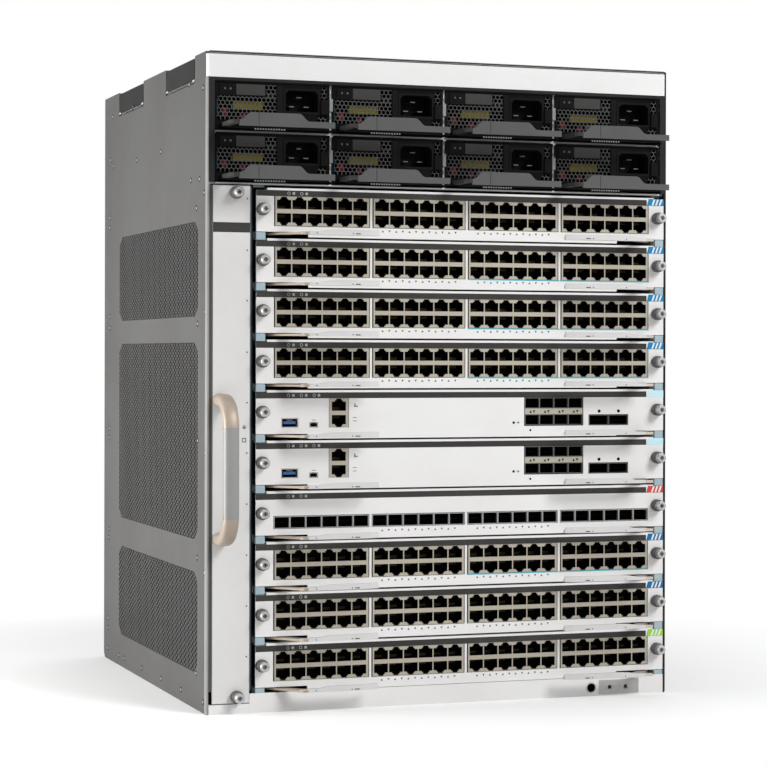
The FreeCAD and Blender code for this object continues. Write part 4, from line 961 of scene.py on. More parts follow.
# %% Supervisor sockets
USB = (CARD_LEFT + 23, SLOT_TOP - 31.1, 15.9, 8.8)
CONSOLE = (CARD_LEFT + 48.8, SLOT_TOP - 31.1, 8.3, 5.0)
STACK = (CARD_LEFT + 67, SLOT_TOP - 31.1, 18.6, 26.7)
UPLINK = (CARD_LEFT + 253.6, SLOT_TOP - 31.1, 58.7, 26.7)
QUAD = (CARD_LEFT + 317.6, SLOT_TOP - 31.1, 40.0, 10.1)


def small_socket(window, tongue, tongue_height):
    """Rim, dark well and tongue of a small socket."""
    left, low, width, height = window
    inner = rectangle(left + 0.9, low + 0.9, left + width - 0.9, low + height - 0.9)
    rim = Mould().prism(
        "XZ", FRONT + 0.1, FRONT + 6, rectangle(left, low, left + width, low + height), [inner]
    )
    well = Mould().block((left, FRONT + 6, low), (left + width, FRONT + 6.6, low + height))
    middle = low + height * 0.52
    bar = Mould().block(
        (left + 2.4, FRONT + 0.9, middle - tongue_height / 2),
        (left + width - 2.4, FRONT + 6, middle + tongue_height / 2)
    )
    return [rim.done("rim", ZINC), well.done("well", BLACK_PLASTIC_AND_SHADE), bar.done("bar", tongue)]


def supervisor_meshes():
    """All the sockets of a supervisor card."""
    meshes = small_socket(USB, USB_BLUE, 2.4) + small_socket(CONSOLE, BLACK_PLASTIC_AND_SHADE, 1.2)
    left, low, width, height = STACK
    shield, wells, contacts = jack_column(left + (width - JACK_PITCH) / 2)
    meshes += [painted(shield, JACK_METAL), painted(wells, BLACK_PLASTIC_AND_SHADE), contacts]
    sides = Mould()
    sides.block(
        (left + 0.4, JACK_SHIELD, low + 0.1),
        (left + (width - JACK_PITCH) / 2, JACK_SHIELD + 6, low + height - 0.1)
    )
    sides.block(
        (left + (width + JACK_PITCH) / 2, JACK_SHIELD, low + 0.1),
        (left + width - 0.4, JACK_SHIELD + 6, low + height - 0.1)
    )
    meshes.append(sides.done("sides", JACK_METAL))
    left, low, width, height = UPLINK
    cell = (width - 1.6) / 4
    mouth, sleeve = cage(left + 0.8, low + 0.8, cell, 9.6)
    for name, shape, material in (("mouths", mouth, SCREW_SLEEVE_AND_SHADE), ("sleeves", sleeve, BLACK_PLASTIC_AND_SHADE)):
        meshes.append(on_grid(name, shape, material, 4, 2, (cell, 0, 0), (0, 0, 15.2)))
    bar = Mould().block((left + 0.8, FRONT + 0.2, low + 10.6), (left + width - 0.8, FRONT + 3, low + 15.8))
    meshes.append(bar.done("bar", JACK_METAL))
    up = Mould().prism(
        "XZ", FRONT + 0.05, FRONT + 0.2,
        [(left + 5.1, low + 11.8), (left + 7.5, low + 11.8), (left + 6.3, low + 14.2)]
    ).done("up")
    down = Mould().prism(
        "XZ", FRONT + 0.05, FRONT + 0.2,
        [(left + 8.5, low + 14.2), (left + 9.7, low + 11.8), (left + 10.9, low + 14.2)]
    ).done("down")
    meshes += [on_grid("pointers", shape, BLACK_PLASTIC_AND_SHADE, 4, 1, (cell, 0, 0)) for shape in (up, down)]
    left, low, width, height = QUAD
    mouth, sleeve = cage(left + 0.5, low + 0.4, 19.3, 9.2)
    for name, shape, material in (
        ("wide mouths", mouth, SCREW_SLEEVE_AND_SHADE), ("wide sleeves", sleeve, BLACK_PLASTIC_AND_SHADE)
    ):
        meshes.append(on_grid(name, shape, material, 2, 1, (19.7, 0, 0)))
    lamps = Mould()
    for across, drop, radius in ((152.5, 18, 1.5), (172, 18, 1.5), (67.6, 28, 1.2), (84, 35, 1.0)):
        lamps.turned((across, FRONT, SLOT_TOP - drop), [(-0.12, radius), (0.0, radius)], 16)
    meshes.append(lamps.done("lamps", BLACK_PLASTIC_AND_SHADE))
    signs = Mould()
    for across, drop, wide, tall in (
        (-145, 24.4, 5.5, 1.0), (-122.5, 24.3, 3.6, 0.5), (-122.5, 26.6, 3.6, 0.5), (-84.5, 11.5, 1.0, 3.0),
        (-83.2, 12.4, 3.0, 0.8), (-84.5, 22.4, 3.6, 0.5), (-84.5, 25.4, 3.6, 0.5), (72, 28, 0.6, 2.6),
        (72, 28, 2.6, 0.6)
    ):
        signs.block(
            (across - wide / 2, FRONT - 0.1, SLOT_TOP - drop - tall / 2),
            (across + wide / 2, FRONT, SLOT_TOP - drop + tall / 2)
        )
    meshes.append(signs.done("signs", INK_GREY))
    return meshes


# %% [markdown]
# ## Behind a faceplate
# A card that is pulled out shows its carrier sheet, its circuit board with a finned heat sink and rows of
# chips, and the long connector at its back. Fins and chips repeat, so the grid tree makes them.

# %% Card interior
def interior_meshes():
    """Carrier, board, chips, heat sink and connector of the top slot's card."""
    carrier = Mould().block(
        (CARD_LEFT + 2, FRONT + 1.5, SLOT_TOP - 36.2), (CARD_RIGHT - 2, MODULE_BACK, SLOT_TOP - 34.7)
    )
    carrier.block((CARD_LEFT + 2, FRONT + 1.5, SLOT_TOP - 34.7), (CARD_LEFT + 3, MODULE_BACK, SLOT_TOP - 31))
    carrier.block(
        (CARD_RIGHT - 3, FRONT + 1.5, SLOT_TOP - 34.7), (CARD_RIGHT - 2, MODULE_BACK, SLOT_TOP - 31)
    )
    board = Mould().block(
        (CARD_LEFT + 12, FRONT + 1.5, SLOT_TOP - 34.7), (CARD_RIGHT - 12, 134.7, SLOT_TOP - 31.1)
    )
    sink = Mould().block((-38, -60, SLOT_TOP - 31.1), (80, 60, SLOT_TOP - 28))
    fin = Mould().block((-38, -60, SLOT_TOP - 28), (-37, 60, SLOT_TOP - 15.5)).done("fin")
    chip = Mould().block((-140, -150, SLOT_TOP - 31.1), (-126, -136, SLOT_TOP - 29.4)).done("chip")
    magnetics = Mould().block((-158, -184, SLOT_TOP - 31.1), (-140, -176, SLOT_TOP - 24)).done("magnetics")
    plug = Mould().block(
        (CARD_MIDDLE - 129, 134.9, SLOT_TOP - 31.1), (CARD_MIDDLE + 129, 149.4, SLOT_TOP - 16.4)
    )
    return joined("card interior", [
        carrier.done("carrier", ZINC),
        board.done("board", BOARD_GREEN),
        sink.done("sink", FIN_METAL),
        on_grid("fins", fin, FIN_METAL, 30, 1, (4.03, 0, 0)),
        on_grid("chips", chip, CHIP_BLACK, 12, 2, (27.5, 0, 0), (0, 33, 0)),
        on_grid("magnetics", magnetics, CHIP_BLACK, 16, 1, (23.2, 0, 0)),
        plug.done("plug", BLACK_PLASTIC_AND_SHADE),
    ])


# %% [markdown]
# ## Ejector levers
# Each card has two levers under its plate. A flat steel arm turns on a pin behind the plate and slants
# forwards, and a moulded grip runs along its outer end with a raised lip for the finger. The right one is
# the mirror image, apart from its grip, which starts nearer to its pivot.

# %% Ejector levers
def ejector(reach):
    """Left lever of the top slot's card. reach is how far its grip goes on towards the pivot."""
    pivot_x, pivot_y = CARD_LEFT + 15.1, FRONT + 8
    low = SLOT_TOP - 39.1
    front = FRONT - 22.9
    arm = Mould()
    outline = [(pivot_x - 3.6, pivot_y - 1)]
    outline += [
        (pivot_x + 3.6 * math.cos(a), pivot_y + 3.6 * math.sin(a))
        for a in [math.pi * k / 8 for k in range(8, -1, -1)]
    ]
    outline += [(pivot_x + 5, pivot_y - 3), (-131, -222.5), (-129, -222.5), (-129, -229), (-138, -229.6)]
    arm.prism("XY", low, low + 1.9, outline)
    arm.turned((pivot_x, pivot_y, low), [(-0.2, 2.0), (2.0, 2.0)], 16, "Z")
    cap = Mould().prism(
        "XY", low - 0.2, low + 2.3,
        [
            (-141.5 - reach, front + 2.2), (-133.5 - reach, front + 0.4), (-131 - reach, front + 6),
            (-137 - reach, front + 8),
        ]
    )
    plan = [
        (-134 - reach, front + 0.6), (-126 - reach, front), (-92, front), (-84, front + 0.5),
        (-76, front + 1.8), (-68.2, front + 3.9)
    ]
    plan += [(-68.2, front + 7.6), (-131 - reach, front + 7.6)]
    grip = Mould().prism("XY", SLOT_TOP - 39.35, SLOT_TOP - 36.4, plan)
    lip = [
        (-134 - reach, SLOT_TOP - 36.7), (-125 - reach, SLOT_TOP - 36.3), (-117 - reach, SLOT_TOP - 34.9),
        (-108 - reach, SLOT_TOP - 34.4)
    ]
    lip += [(-68.6, SLOT_TOP - 34.4), (-68.6, SLOT_TOP - 37), (-134 - reach, SLOT_TOP - 37)]
    grip.prism("XZ", front + 0.3, front + 3.0, [(min(across, -90), along) for across, along in lip])
    scoop = Mould()
    scoop.prism(
        "XY", SLOT_TOP - 37, SLOT_TOP - 34.4,
        [
            (-90.5, front + 0.3), (-84, front + 0.8), (-76, front + 2.1), (-68.6, front + 4.2),
            (-68.6, front + 6.0), (-90.5, front + 3.0),
        ]
    )
    marks = Mould()
    for across in (-94, -127):
        marks.turned((across, front - 0.05, SLOT_TOP - 37.9), [(-0.02, 0.6), (0.1, 0.6)], 10)
    marks.block((-91.5, front - 0.05, SLOT_TOP - 38.5), (-87, front + 0.1, SLOT_TOP - 37.6))
    return [
        arm.done("arm", ARM_STEEL),
        cap.done("cap", ARM_CAP),
        grip.done("grip", EJECTOR_PLASTIC),
        scoop.done("scoop", EJECTOR_PLASTIC),
        marks.done("marks", INK_GREY),
    ]


left_ejector = joined("left ejector", ejector(0.0))
right_ejector = mirrored(joined("right ejector", ejector(14.0)), CARD_MIDDLE)

# %% Place the cards
windows = {
    "copper": [(left, 5.2, GROUP_WIDTH, 26.3) for left in GROUP_LEFTS],
    "fibre": [(left, 19.6, GROUP_WIDTH, 11.5) for left in GROUP_LEFTS],
    "supervisor": [
        (left, SLOT_TOP - low - height, width, height)
        for left, low, width, height in (USB, CONSOLE, STACK, UPLINK, QUAD)
    ],
}
sockets = {
    "copper": joined("copper sockets", copper_sockets),
    "fibre": joined("fibre sockets", fibre_meshes()),
    "supervisor": joined("supervisor sockets", supervisor_meshes()),
}
plates = {kind: faceplate(places) for kind, places in windows.items()}
inside = interior_meshes()
pointers = pointer_row()
tags = {slot: TAG_BLUE for slot in (1, 2, 3, 4)}
tags.update({5: TAG_PALE, 6: TAG_PALE, 7: TAG_RED, 8: TAG_NAVY, 9: TAG_NAVY, 10: TAG_GREEN})
for slot in range(1, 11):
    kind = "supervisor" if slot in SUPERVISOR_SLOTS else "fibre" if slot in FIBRE_SLOTS else "copper"
    card = f"{'supervisor' if kind == 'supervisor' else 'line_card'}_{slot:02d}"
    drop = -SLOT_PITCH * (slot - 1)
    prints = printed_strip(kind == "supervisor") + [colour_tag(tags[slot], 0 if kind == "supervisor" else 3)]
    if kind != "supervisor":
        prints = prints + pointers
    if slot in (2, 3, 4, 8):
        line = Mould().block(
            (GROUP_LEFTS[2], FRONT - 0.12, SLOT_TOP - 32.2),
            (GROUP_LEFTS[3] + GROUP_WIDTH, FRONT, SLOT_TOP - 31.3)
        )
        prints = prints + [line.done("line", CYAN_LINE)]
    add_piece(f"{card}_faceplate", shifted(plates[kind], up=drop), card, [card], bevel=0.25)
    add_piece(f"{card}_sockets", shifted(sockets[kind], up=drop), card)
    add_piece(f"{card}_prints", shifted(joined("prints", prints), up=drop), card)
    add_piece(f"{card}_screws", shifted(card_screws, up=drop), card, smooth=40)
    add_piece(f"{card}_inside", shifted(inside, up=drop), card)
    for side, mesh in (("left", left_ejector), ("right", right_ejector)):
        node_name = f"slot_{slot:02d}_{side}_lever"
        add_piece(f"{node_name}_grip", shifted(mesh, up=drop), node_name, [node_name], bevel=0.35)
print("cards placed:", slot)

# %% [markdown]
# ## Power supplies
# A supply shows a charcoal plate with a hexagonal mesh, a deep mains inlet with three blades, a rocker
# switch and a clip that keeps the plug in. A grey lever crosses its lower edge. The mesh is a tile with
# one hole, copied on a staggered grid: two grids, the second half a step aside.

# %% Power supply
HEX_PITCH = 3.9
HEX_HOLE = 1.97
FACE = FRONT + 1.0


def hex_mesh(left, low, columns, rows):
    """Hexagonal mesh: each hole has its own ring, and the rings meet edge to edge."""
    ring = HEX_PITCH / math.sqrt(3)
    middle = (left + HEX_PITCH / 2, low + ring)

    def corners(radius):
        return [
            (
                middle[0] + radius * math.sin(math.radians(60 * k)),
                middle[1] + radius * math.cos(math.radians(60 * k))
            )
            for k in range(6)
        ]

    tile = Mould().prism("XZ", FACE + 0.3, FACE + 1.1, corners(ring), [corners(HEX_HOLE)]).done("ring")
    rise = ring * 1.5
    even = on_grid("even", tile, MESH_STEEL, columns, (rows + 1) // 2, (HEX_PITCH, 0, 0), (0, 0, 2 * rise))
    tile = shifted(tile, HEX_PITCH / 2, rise)
    odd = on_grid("odd", tile, MESH_STEEL, columns, rows // 2, (HEX_PITCH, 0, 0), (0, 0, 2 * rise))
    return [even, odd]


def supply_meshes():
    """All the pieces of the upper left supply, apart from its lever."""
    left, low = SUPPLY_LEFT, SUPPLY_LOW
    right, high = left + SUPPLY_WIDTH, low + SUPPLY_HEIGHT
    inlet = (left + 61.7, low + 16.0, left + 95.7, low + 38.5)
    plate = Mould()
    mesh_hole = [
        (left + 1.5, low + 9), (left + 55.5, low + 9), (left + 55.5, low + 40.5), (left + 45.5, low + 40.5)
    ]
    mesh_hole += [(left + 45.5, low + 30), (left + 1.5, low + 30)]
    side_mesh = rectangle(left + 96.2, low + 28, left + 101.5, low + 40.5)
    foot_mesh = rectangle(left + 93, low + 9.5, left + 101.5, low + 14.5)
    plate.prism(
        "XZ", FACE, FACE + 1.4, rectangle(left, low, right, high),
        [mesh_hole, rectangle(*inlet), side_mesh, foot_mesh],
    )
    plate.block((left, FACE - 1.2, high - 1.2), (right, FACE, high))
    body = Mould()
    body.prism(
        "XZ", FACE + 1.4, FACE + 25, rectangle(left, low, right, high),
        [rectangle(left + 1, low + 1, right - 1, high - 1)]
    )
    body.block((left, FACE + 25, low), (right, 134.7, high))
    # A black sleeve inside the zinc housing is painted shade: it darkens what shows through the mesh.
    shade_lining = Mould().prism(
        "XZ", FACE + 1.5, FACE + 24.6, rectangle(left + 1, low + 1, right - 1, high - 1),
        [rectangle(left + 1.4, low + 1.4, right - 1.4, high - 1.4)],
    )
    shade_lining.block((left + 1, FACE + 24.6, low + 1), (right - 1, FACE + 25, high - 1))
    meshes = [plate.done("plate", CHARCOAL), body.done("body", ZINC), shade_lining.done("shade_lining", BLACK_PLASTIC_AND_SHADE)]
    coils = [
        (COIL_YELLOW, (18, 19, 45, 26)), (COIL_RED, (8, 13, 13, 20)), (COIL_RED, (25, 11, 30, 15)),
        (COIL_BLUE, (1.6, 12, 4.4, 28)), (CHIP_BLACK, (34, 10, 52, 17)),
    ]
    for material, (x0, z0, x1, z1) in coils:
        coil = Mould().block((left + x0, FACE + 7, low + z0), (left + x1, FACE + 14, low + z1))
        meshes.append(coil.done("coil", material))
    meshes += hex_mesh(left + 1.2, low + 8.0, 14, 7)
    meshes += hex_mesh(left + 44.6, low + 29.2, 3, 4)
    meshes += hex_mesh(left + 95.6, low + 27.4, 2, 4)
    meshes += hex_mesh(left + 92.6, low + 8.6, 3, 2)
    socket = Mould()
    x0, z0, x1, z1 = inlet
    socket.prism(
        "XZ", FACE - 0.5, FACE + 19, rectangle(*inlet),
        [
            [
                (x0 + 2, z0 + 2), (x1 - 2, z0 + 2), (x1 - 2, z1 - 5), (x1 - 5, z1 - 2), (x0 + 5, z1 - 2),
                (x0 + 2, z1 - 5)
            ],
        ]
    )
    socket.block((x0, FACE + 19, z0), (x1, FACE + 23, z1))
    meshes.append(socket.done("socket", BLACK_TRIM_AND_SHADOW))
    # The blades are darker than bare metal: painted shade deep in the inlet.
    blades = Mould()
    middle = ((x0 + x1) / 2, (z0 + z1) / 2)
    for aside, above in ((0, 4.2), (-6.75, -4.0), (6.75, -4.0)):
        blades.block(
            (middle[0] + aside - 2.3, FACE + 9, middle[1] + above - 0.4),
            (middle[0] + aside + 2.3, FACE + 19, middle[1] + above + 0.4)
        )
    meshes.append(blades.done("blades", SCREW_SLEEVE_AND_SHADE))
    switch = Mould()
    switch.prism("XZ", FACE - 0.8, FACE, rectangle(left + 4, low + 30.6, left + 18, low + 40), [
        rectangle(left + 5.2, low + 31.8, left + 16.8, low + 38.8),
    ])
    switch.prism(
        "YZ", left + 5.4, left + 16.6,
        [(FACE, low + 32), (FACE - 0.4, low + 32), (FACE - 1.3, low + 38.6), (FACE, low + 38.6)]
    )
    switch.block((left + 56, FACE - 0.5, low + 9), (left + 61.2, FACE, low + 40.5))
    switch.block((left + 95.9, FACE - 2.6, low + 16.2), (left + 102.8, FACE, low + 28.8))
    switch.block((left + 97.6, FACE - 2.9, low + 19), (left + 101, FACE - 2.4, low + 26))
    meshes.append(switch.done("switch", BLACK_TRIM_AND_SHADOW))
    signs = Mould().block((left + 8.0, FACE - 1.2, low + 35.2), (left + 9.2, FACE - 0.9, low + 36.8))
    signs.block((left + 12.8, FACE - 1.2, low + 35.2), (left + 14.4, FACE - 0.9, low + 36.8))
    meshes.append(signs.done("signs", MESH_STEEL))
    label = Mould().block((left + 19, FACE - 0.12, low + 31), (left + 45, FACE, low + 40.4))
    meshes.append(label.done("label", STRIP_INK))
    shelf = Mould().block((left + 0.2, FACE - 5.8, low + 0.1), (right - 0.2, FACE, low + 1.2))
    shelf.block((left + 0.2, FACE - 5.8, low + 0.1), (right - 0.2, FACE - 4.8, low + 2.1))
    meshes.append(shelf.done("shelf", CHARCOAL))
    tooth = Mould().block(
        (left + 34, FACE - 5.95, low + 0.5), (left + 35.3, FACE - 5.7, low + 1.7)
    ).done("tooth")
    meshes.append(on_grid("teeth", tooth, EJECTOR_SHADE, 12, 1, (2.4, 0, 0)))
    plug = Mould().block((left + 26.3, 134.9, low + 11), (left + 78, 149.4, low + 32))
    meshes.append(plug.done("plug", BLACK_PLASTIC_AND_SHADE))
    return meshes


def supply_lever():
    """Lever of the upper left supply: bent bar, and a front plate that rises in an S curve at both ends."""
    left = SUPPLY_LEFT
    low = SUPPLY_LOW + 2.5
    foot = SUPPLY_LOW + 0.8
    front = FRONT - 33.9
    pivot = (left + 8.2, FACE - 3.3)
    bar = Mould()
    outline = [
        (pivot[0] + 2.9 * math.cos(a), pivot[1] + 2.9 * math.sin(a))
        for a in [math.pi * k / 8 for k in range(0, 9)]
    ]
    outline += [
        (left + 5.3, front + 7), (left + 5.9, front + 4), (left + 7.8, front + 1.8),
        (left + 10.6, front + 0.7), (left + 13, front + 0.4)
    ]
    outline += [(left + 98.0, front + 0.4), (left + 98.0, front + 2.9)]
    outline += [(left + 16, front + 2.9), (left + 13, front + 3.6), (left + 11.1, front + 6)]
    bar.prism("XY", low, low + 3.5, outline)
    bar.turned((pivot[0], pivot[1], low), [(-0.2, 1.6), (3.8, 1.6)], 16, "Z")
    rise = [(share, 0.5 - 0.5 * math.cos(math.pi * share)) for share in (0.0, 0.2, 0.4, 0.6, 0.8, 1.0)]
    crest, root = SUPPLY_LOW + 12.5, low + 3.6
    edge = [(left + 12.6, foot), (left + 98.4, foot), (left + 98.4, root)]
    edge += [(left + 75 - 9 * share, root + (crest - root) * up) for share, up in rise]
    edge += [(left + 23 - 9 * share, crest - (crest - root) * up) for share, up in rise]
    edge += [(left + 12.6, root)]
    bar.slot = 1
    bar.prism("XZ", front, front + 1.9, edge)
    seams = Mould()
    seams.block((left + 29.4, front - 0.03, foot + 0.4), (left + 29.9, front + 0.2, crest - 0.3))
    return [bar.done("bar", STRIP_INK, LEVER_PLASTIC), seams.done("seams", BLACK_TRIM_AND_SHADOW)]


supply = joined("supply", supply_meshes())
lever = joined("supply lever", supply_lever())
for number in range(8):
    right, up = SUPPLY_PITCH * (number % 4), -SUPPLY_RISE * (number // 4)
    node_name = f"power_supply_{number + 1}"
    add_piece(f"{node_name}_unit", shifted(supply, right, up), node_name, [node_name])
    add_piece(
        f"{node_name}_lever_bar", shifted(lever, right, up), node_name + "_lever", [node_name + "_lever"],
        bevel=0.4
    )
print("faces in a supply:", len(supply.polygons))

# %% [markdown]
# ## Fan tray
# The fan tray is a tall module behind a narrow painted plate. Its bow handle has two cast ends and a
# straight bar between them, bent from one oval section. The section is swept along a rounded path in mesh
# code.

# %% Fan tray
TRAY_LEFT, TRAY_RIGHT = -214.6, -181.2
GRIP_PATH_LEFT = -207.6


def grip_mesh():
    """Bow handle with an oval section, champagne at its ends and grey along its bar."""
    half_deep, half_wide = 5.4, 6.9
    low, high = 147.1 + half_deep, 278.9 - half_deep
    front = FRONT - 40 + half_deep
    radius = 24.0
    path = [(FRONT, low)]
    path += [
        (
            front + radius * (1 - math.sin(math.radians(9 * k))),
            low + radius * (1 - math.cos(math.radians(9 * k)))
        )
        for k in range(0, 11)
    ]
    straight = [172.0, 172.6, 212.0, 250.4, 251.0]
    path = path + [(front, z) for z in straight]
    path += [(y, low + high - z) for y, z in path[11:0:-1]] + [(FRONT, high)]
    mesh = bmesh.new()
    rings = []
    sides = 20
    for index, (y, z) in enumerate(path):
        before, after = path[max(index - 1, 0)], path[min(index + 1, len(path) - 1)]
        run = Vector((0, after[0] - before[0], after[1] - before[1])).normalized()
        out = Vector((1, 0, 0)).cross(run)
        ring = []
        for side in range(sides):
            angle = 2 * math.pi * side / sides
            wide = math.copysign(abs(math.cos(angle)) ** 0.7, math.cos(angle)) * half_wide
            deep = math.copysign(abs(math.sin(angle)) ** 0.7, math.sin(angle)) * half_deep
            ring.append(mesh.verts.new(Vector((GRIP_PATH_LEFT + wide, y, z)) + out * deep))
        rings.append(ring)
    for index, (first, second) in enumerate(zip(rings, rings[1:])):
        middle = (path[index][1] + path[index + 1][1]) / 2
        tone = 2 if 171.9 < middle < 172.7 or 250.3 < middle < 251.1 else 1 if 172 < middle < 251 else 0
        for side in range(sides):
            face = mesh.faces.new((first[side - 1], first[side], second[side], second[side - 1]))
            face.material_index = tone
    for ring in (rings[0], rings[-1]):
        mesh.faces.new(ring)
    mould = Mould()
    mould.mesh.free()
    mould.mesh = mesh
    return mould.done("grip", GRIP_CHAMPAGNE, GRIP_GREY, STRIP_INK)


add_piece("fan_tray_bow_handle", grip_mesh(), "fan_tray", ["fan_tray_handle"], smooth=40)

tray = Mould()
tray.prism("XZ", FRONT, FRONT + 1.6, rectangle(TRAY_LEFT, 9.2, TRAY_RIGHT, 460.3))
tray.block((TRAY_LEFT, FRONT + 1.6, 9.2), (TRAY_LEFT + 1.2, FRONT + 9, 460.3))
tray.block((TRAY_RIGHT - 1.2, FRONT + 1.6, 9.2), (TRAY_RIGHT, FRONT + 9, 460.3))
add_piece("fan_tray_plate", tray.done("tray", TRAY_PAINT), "fan_tray", ["fan_tray"], bevel=0.3)

prints = Mould()
prints.block((TRAY_LEFT + 0.1, FRONT - 0.12, 419.4), (TRAY_RIGHT, FRONT, 428))
tray_prints = [prints.done("band", STRIP_INK)]
dots = Mould().turned((-183.8, FRONT, 0), [(-0.12, 0.75), (0.0, 0.75)], 12).done("dot")
tray_prints.append(
    on_points(
        "dots", dots, INK_GREY, [(0, 0, z) for z in (449, 404, 360, 315, 271, 227, 182.5, 138, 93.6, 49.5)]
    )
)
icons = Mould()
icons.prism(
    "XZ", FRONT - 0.12, FRONT, rectangle(-188.2, 236.4, -184.4, 240.2),
    [rectangle(-187.5, 237.1, -185.1, 239.5)]
)
icons.block((-188.2, FRONT - 0.12, 249.2), (-184.4, FRONT, 249.8))
icons.block((-186.6, FRONT - 0.12, 247.6), (-186.0, FRONT, 251.4))
icons.block((-187.6, FRONT - 0.12, 248.2), (-185.0, FRONT, 248.6))
icons.block((-187.6, FRONT - 0.12, 250.4), (-185.0, FRONT, 250.8))
tray_prints.append(icons.done("icons", INK_GREY))
add_piece("fan_tray_prints", joined("tray prints", tray_prints), "fan_tray")
tray_screws = joined("tray screws", [thumbscrew_parts(-194.2, 454.0), thumbscrew_parts(-192.8, 14.8)])
add_piece("fan_tray_screws", tray_screws, "fan_tray", smooth=40)

# %% [markdown]
# Behind the plate stands the fan frame: nine square cells, each with a rotor. A rotor has a round hub and
# seven twisted blades. One rotor is made in mesh code and copied to the nine cells by the grid tree.

# %% Fans
def rotor(centre):
    """Hub and seven twisted blades, turning about X."""
    mould = Mould()
    mould.turned(centre, [(-18, 17), (-2, 17), (-0.5, 15.5)], 24, "X")
    for blade in range(7):
        corners = []
        for radius in (16, 28, 40, 51):
            for lean, along in ((-0.3, -17.0), (0.3, -3.0)):
                angle = 2 * math.pi * blade / 7 + lean * (1.2 - radius / 80)
                corners.append(
                    mould.mesh.verts.new(
                        Vector(centre) + Vector((along, radius * math.cos(angle), radius * math.sin(angle)))
                    )
                )
        for index in range(0, 6, 2):
            mould.mesh.faces.new(
                (corners[index], corners[index + 1], corners[index + 3], corners[index + 2])
            )
    mesh = mould.done("rotor")
    return mesh


frame_low, frame_high, frame_near, frame_far = 8.8, 461.1, -205.0, MODULE_BACK
cell_deep = (frame_far - frame_near - 4) / 3
cell_tall = (frame_high - frame_low - 4) / 3
cells = []
for column in range(3):
    for row in range(3):
        near = frame_near + 4 + column * cell_deep
        low = frame_low + 4 + row * cell_tall
        cells.append(rectangle(near, low, near + cell_deep - 4, low + cell_tall - 4))
fan_frame = Mould().prism(
    "YZ", -215.9, -181.6, rectangle(frame_near, frame_low, frame_far, frame_high), cells
)
for column in range(3):
    middle = frame_near + 2 + (column + 0.5) * cell_deep
    fan_frame.block((-183.5, middle - 4, frame_low + 2), (-181.7, middle + 4, frame_high - 2))
first_rotor = rotor((-183.6, frame_near + 2 + cell_deep / 2, frame_low + 2 + cell_tall / 2))
rotors = on_grid("rotors", first_rotor, CHIP_BLACK, 3, 3, (0, cell_deep, 0), (0, 0, cell_tall))
gaskets = Mould().block((TRAY_LEFT - 1.4, FRONT + 0.2, 20), (TRAY_LEFT - 0.05, FRONT + 1.8, 460))
gaskets.block((TRAY_RIGHT + 0.05, FRONT + 0.8, 20), (TRAY_RIGHT + 1.4, FRONT + 1.8, 460))
add_piece("fan_tray_gaskets", gaskets.done("gaskets", GASKET), "fan_tray", bevel=0.15)
add_piece("fan_tray_fans", joined("fans", [fan_frame.done("frame", BLACK_TRIM_AND_SHADOW), rotors]), "fan_tray")
print("fans:", 9)

# %% [markdown]
# ## Light, floor and backdrop
# The object stands on a white floor in plain soft light: a broad lamp in front and to the right, a weak
# one low on the left, one overhead, and an even pale world. The floor adds its own white for the camera
# alone, so that it runs into the background and still keeps the object's soft shadow.

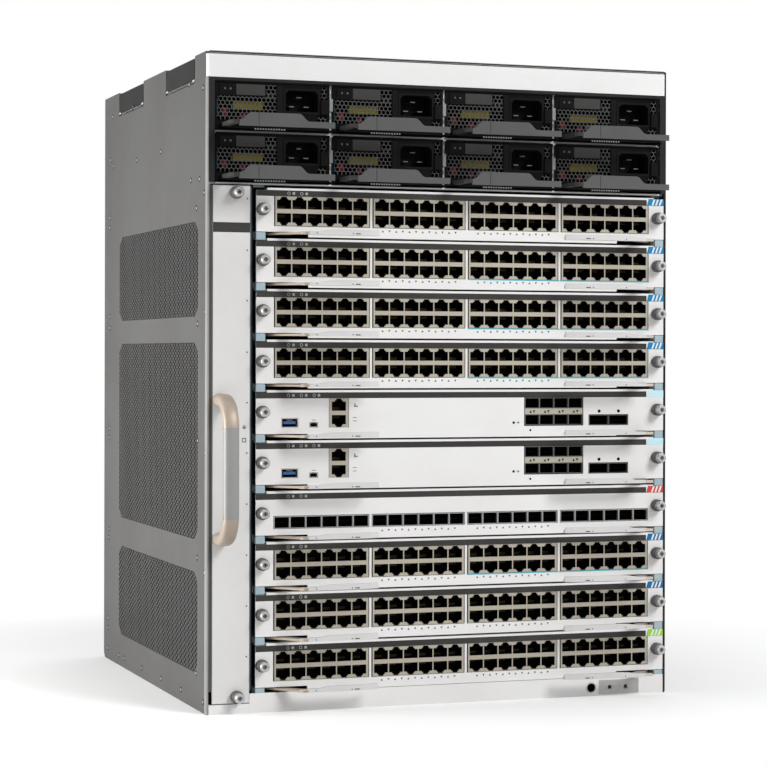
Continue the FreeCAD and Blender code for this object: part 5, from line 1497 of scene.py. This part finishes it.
# %% Stage
def white_floor():
    """Wide floor that keeps the shadow near the object and is plain white further off."""
    mesh = bpy.data.meshes.new("floor")
    mesh.from_pydata([(-30, -30, 0), (30, -30, 0), (30, 30, 0), (-30, 30, 0)], [], [(0, 1, 2, 3)])
    material = bpy.data.materials.new("floor")
    material.use_nodes = True
    tree = material.node_tree
    paint = tree.nodes["Principled BSDF"]
    paint.inputs["Base Color"].default_value = (0.84, 0.84, 0.84, 1)
    paint.inputs["Roughness"].default_value = 1.0
    paint.inputs["Specular IOR Level"].default_value = 0.0
    glow, white = [new_node(tree, "ShaderNodeEmission", {"Strength": strength}) for strength in (0.14, 1.0)]
    place = tree.nodes.new("ShaderNodeTexCoord").outputs["Object"]
    distance = new_node(tree, "ShaderNodeVectorMath", {0: place}, operation="LENGTH").outputs["Value"]
    fade = new_node(tree, "ShaderNodeMapRange", {"Value": distance, "From Min": 0.42, "From Max": 0.62})
    near = new_node(tree, "ShaderNodeAddShader", {0: paint.outputs["BSDF"], 1: glow.outputs["Emission"]})
    blend = {"Fac": fade.outputs["Result"], 1: near.outputs["Shader"], 2: white.outputs["Emission"]}
    whole = new_node(tree, "ShaderNodeMixShader", blend)
    seen = tree.nodes.new("ShaderNodeLightPath").outputs["Is Camera Ray"]
    choice = {"Fac": seen, 1: paint.outputs["BSDF"], 2: whole.outputs["Shader"]}
    shown = new_node(tree, "ShaderNodeMixShader", choice)
    tree.links.new(shown.outputs["Shader"], tree.nodes["Material Output"].inputs["Surface"])
    mesh.materials.append(material)
    floor = bpy.data.objects.new("floor", mesh)
    bpy.context.scene.collection.objects.link(floor)
    return floor


def soft_lamp(name, place, aim, size, power, colour=(1, 1, 1)):
    """Adds a square area lamp that points at a spot."""
    lamp_data = bpy.data.lights.new(name, "AREA")
    lamp_data.size = size
    lamp_data.energy = power
    lamp_data.color = colour
    lamp = bpy.data.objects.new(name, lamp_data)
    bpy.context.scene.collection.objects.link(lamp)
    lamp.location = place
    lamp.visible_camera = False
    lamp.rotation_euler = (Vector(aim) - Vector(place)).to_track_quat("-Z", "Y").to_euler()


def pale_world():
    """Even pale light, and plain white where the camera, a gloss or a clear thing looks at it."""
    world = bpy.data.worlds.new("world")
    world.use_nodes = True
    tree = world.node_tree
    even = tree.nodes["Background"]
    even.inputs["Color"].default_value = (0.97, 0.98, 1.0, 1)
    even.inputs["Strength"].default_value = 0.32
    white = new_node(tree, "ShaderNodeBackground", {"Color": (1, 1, 1, 1), "Strength": 1.0})
    path = tree.nodes.new("ShaderNodeLightPath").outputs
    rays = {0: path["Is Glossy Ray"], 1: path["Is Transmission Ray"]}
    bounced = new_node(tree, "ShaderNodeMath", rays, operation="MAXIMUM").outputs["Value"]
    rays = {0: path["Is Camera Ray"], 1: bounced}
    seen = new_node(tree, "ShaderNodeMath", rays, operation="MAXIMUM", use_clamp=True).outputs["Value"]
    blend = {"Fac": seen, 1: even.outputs["Background"], 2: white.outputs["Background"]}
    backdrop = new_node(tree, "ShaderNodeMixShader", blend)
    tree.links.new(backdrop.outputs["Shader"], tree.nodes["World Output"].inputs["Surface"])
    return world


floor = white_floor()
soft_lamp("front lamp", (1.35, -2.5, 2.1), (0, 0, 0.3), 1.2, 72)
soft_lamp("low left lamp", (-1.0, -0.06, 0.24), (-0.22, 0.0, 0.22), 0.45, 10.0, (1.0, 0.99, 0.97))
soft_lamp("top lamp", (0.2, 0.5, 2.6), (0, 0, 0.3), 1.6, 26)
bpy.context.scene.world = pale_world()
bpy.context.scene.view_settings.view_transform = "Standard"
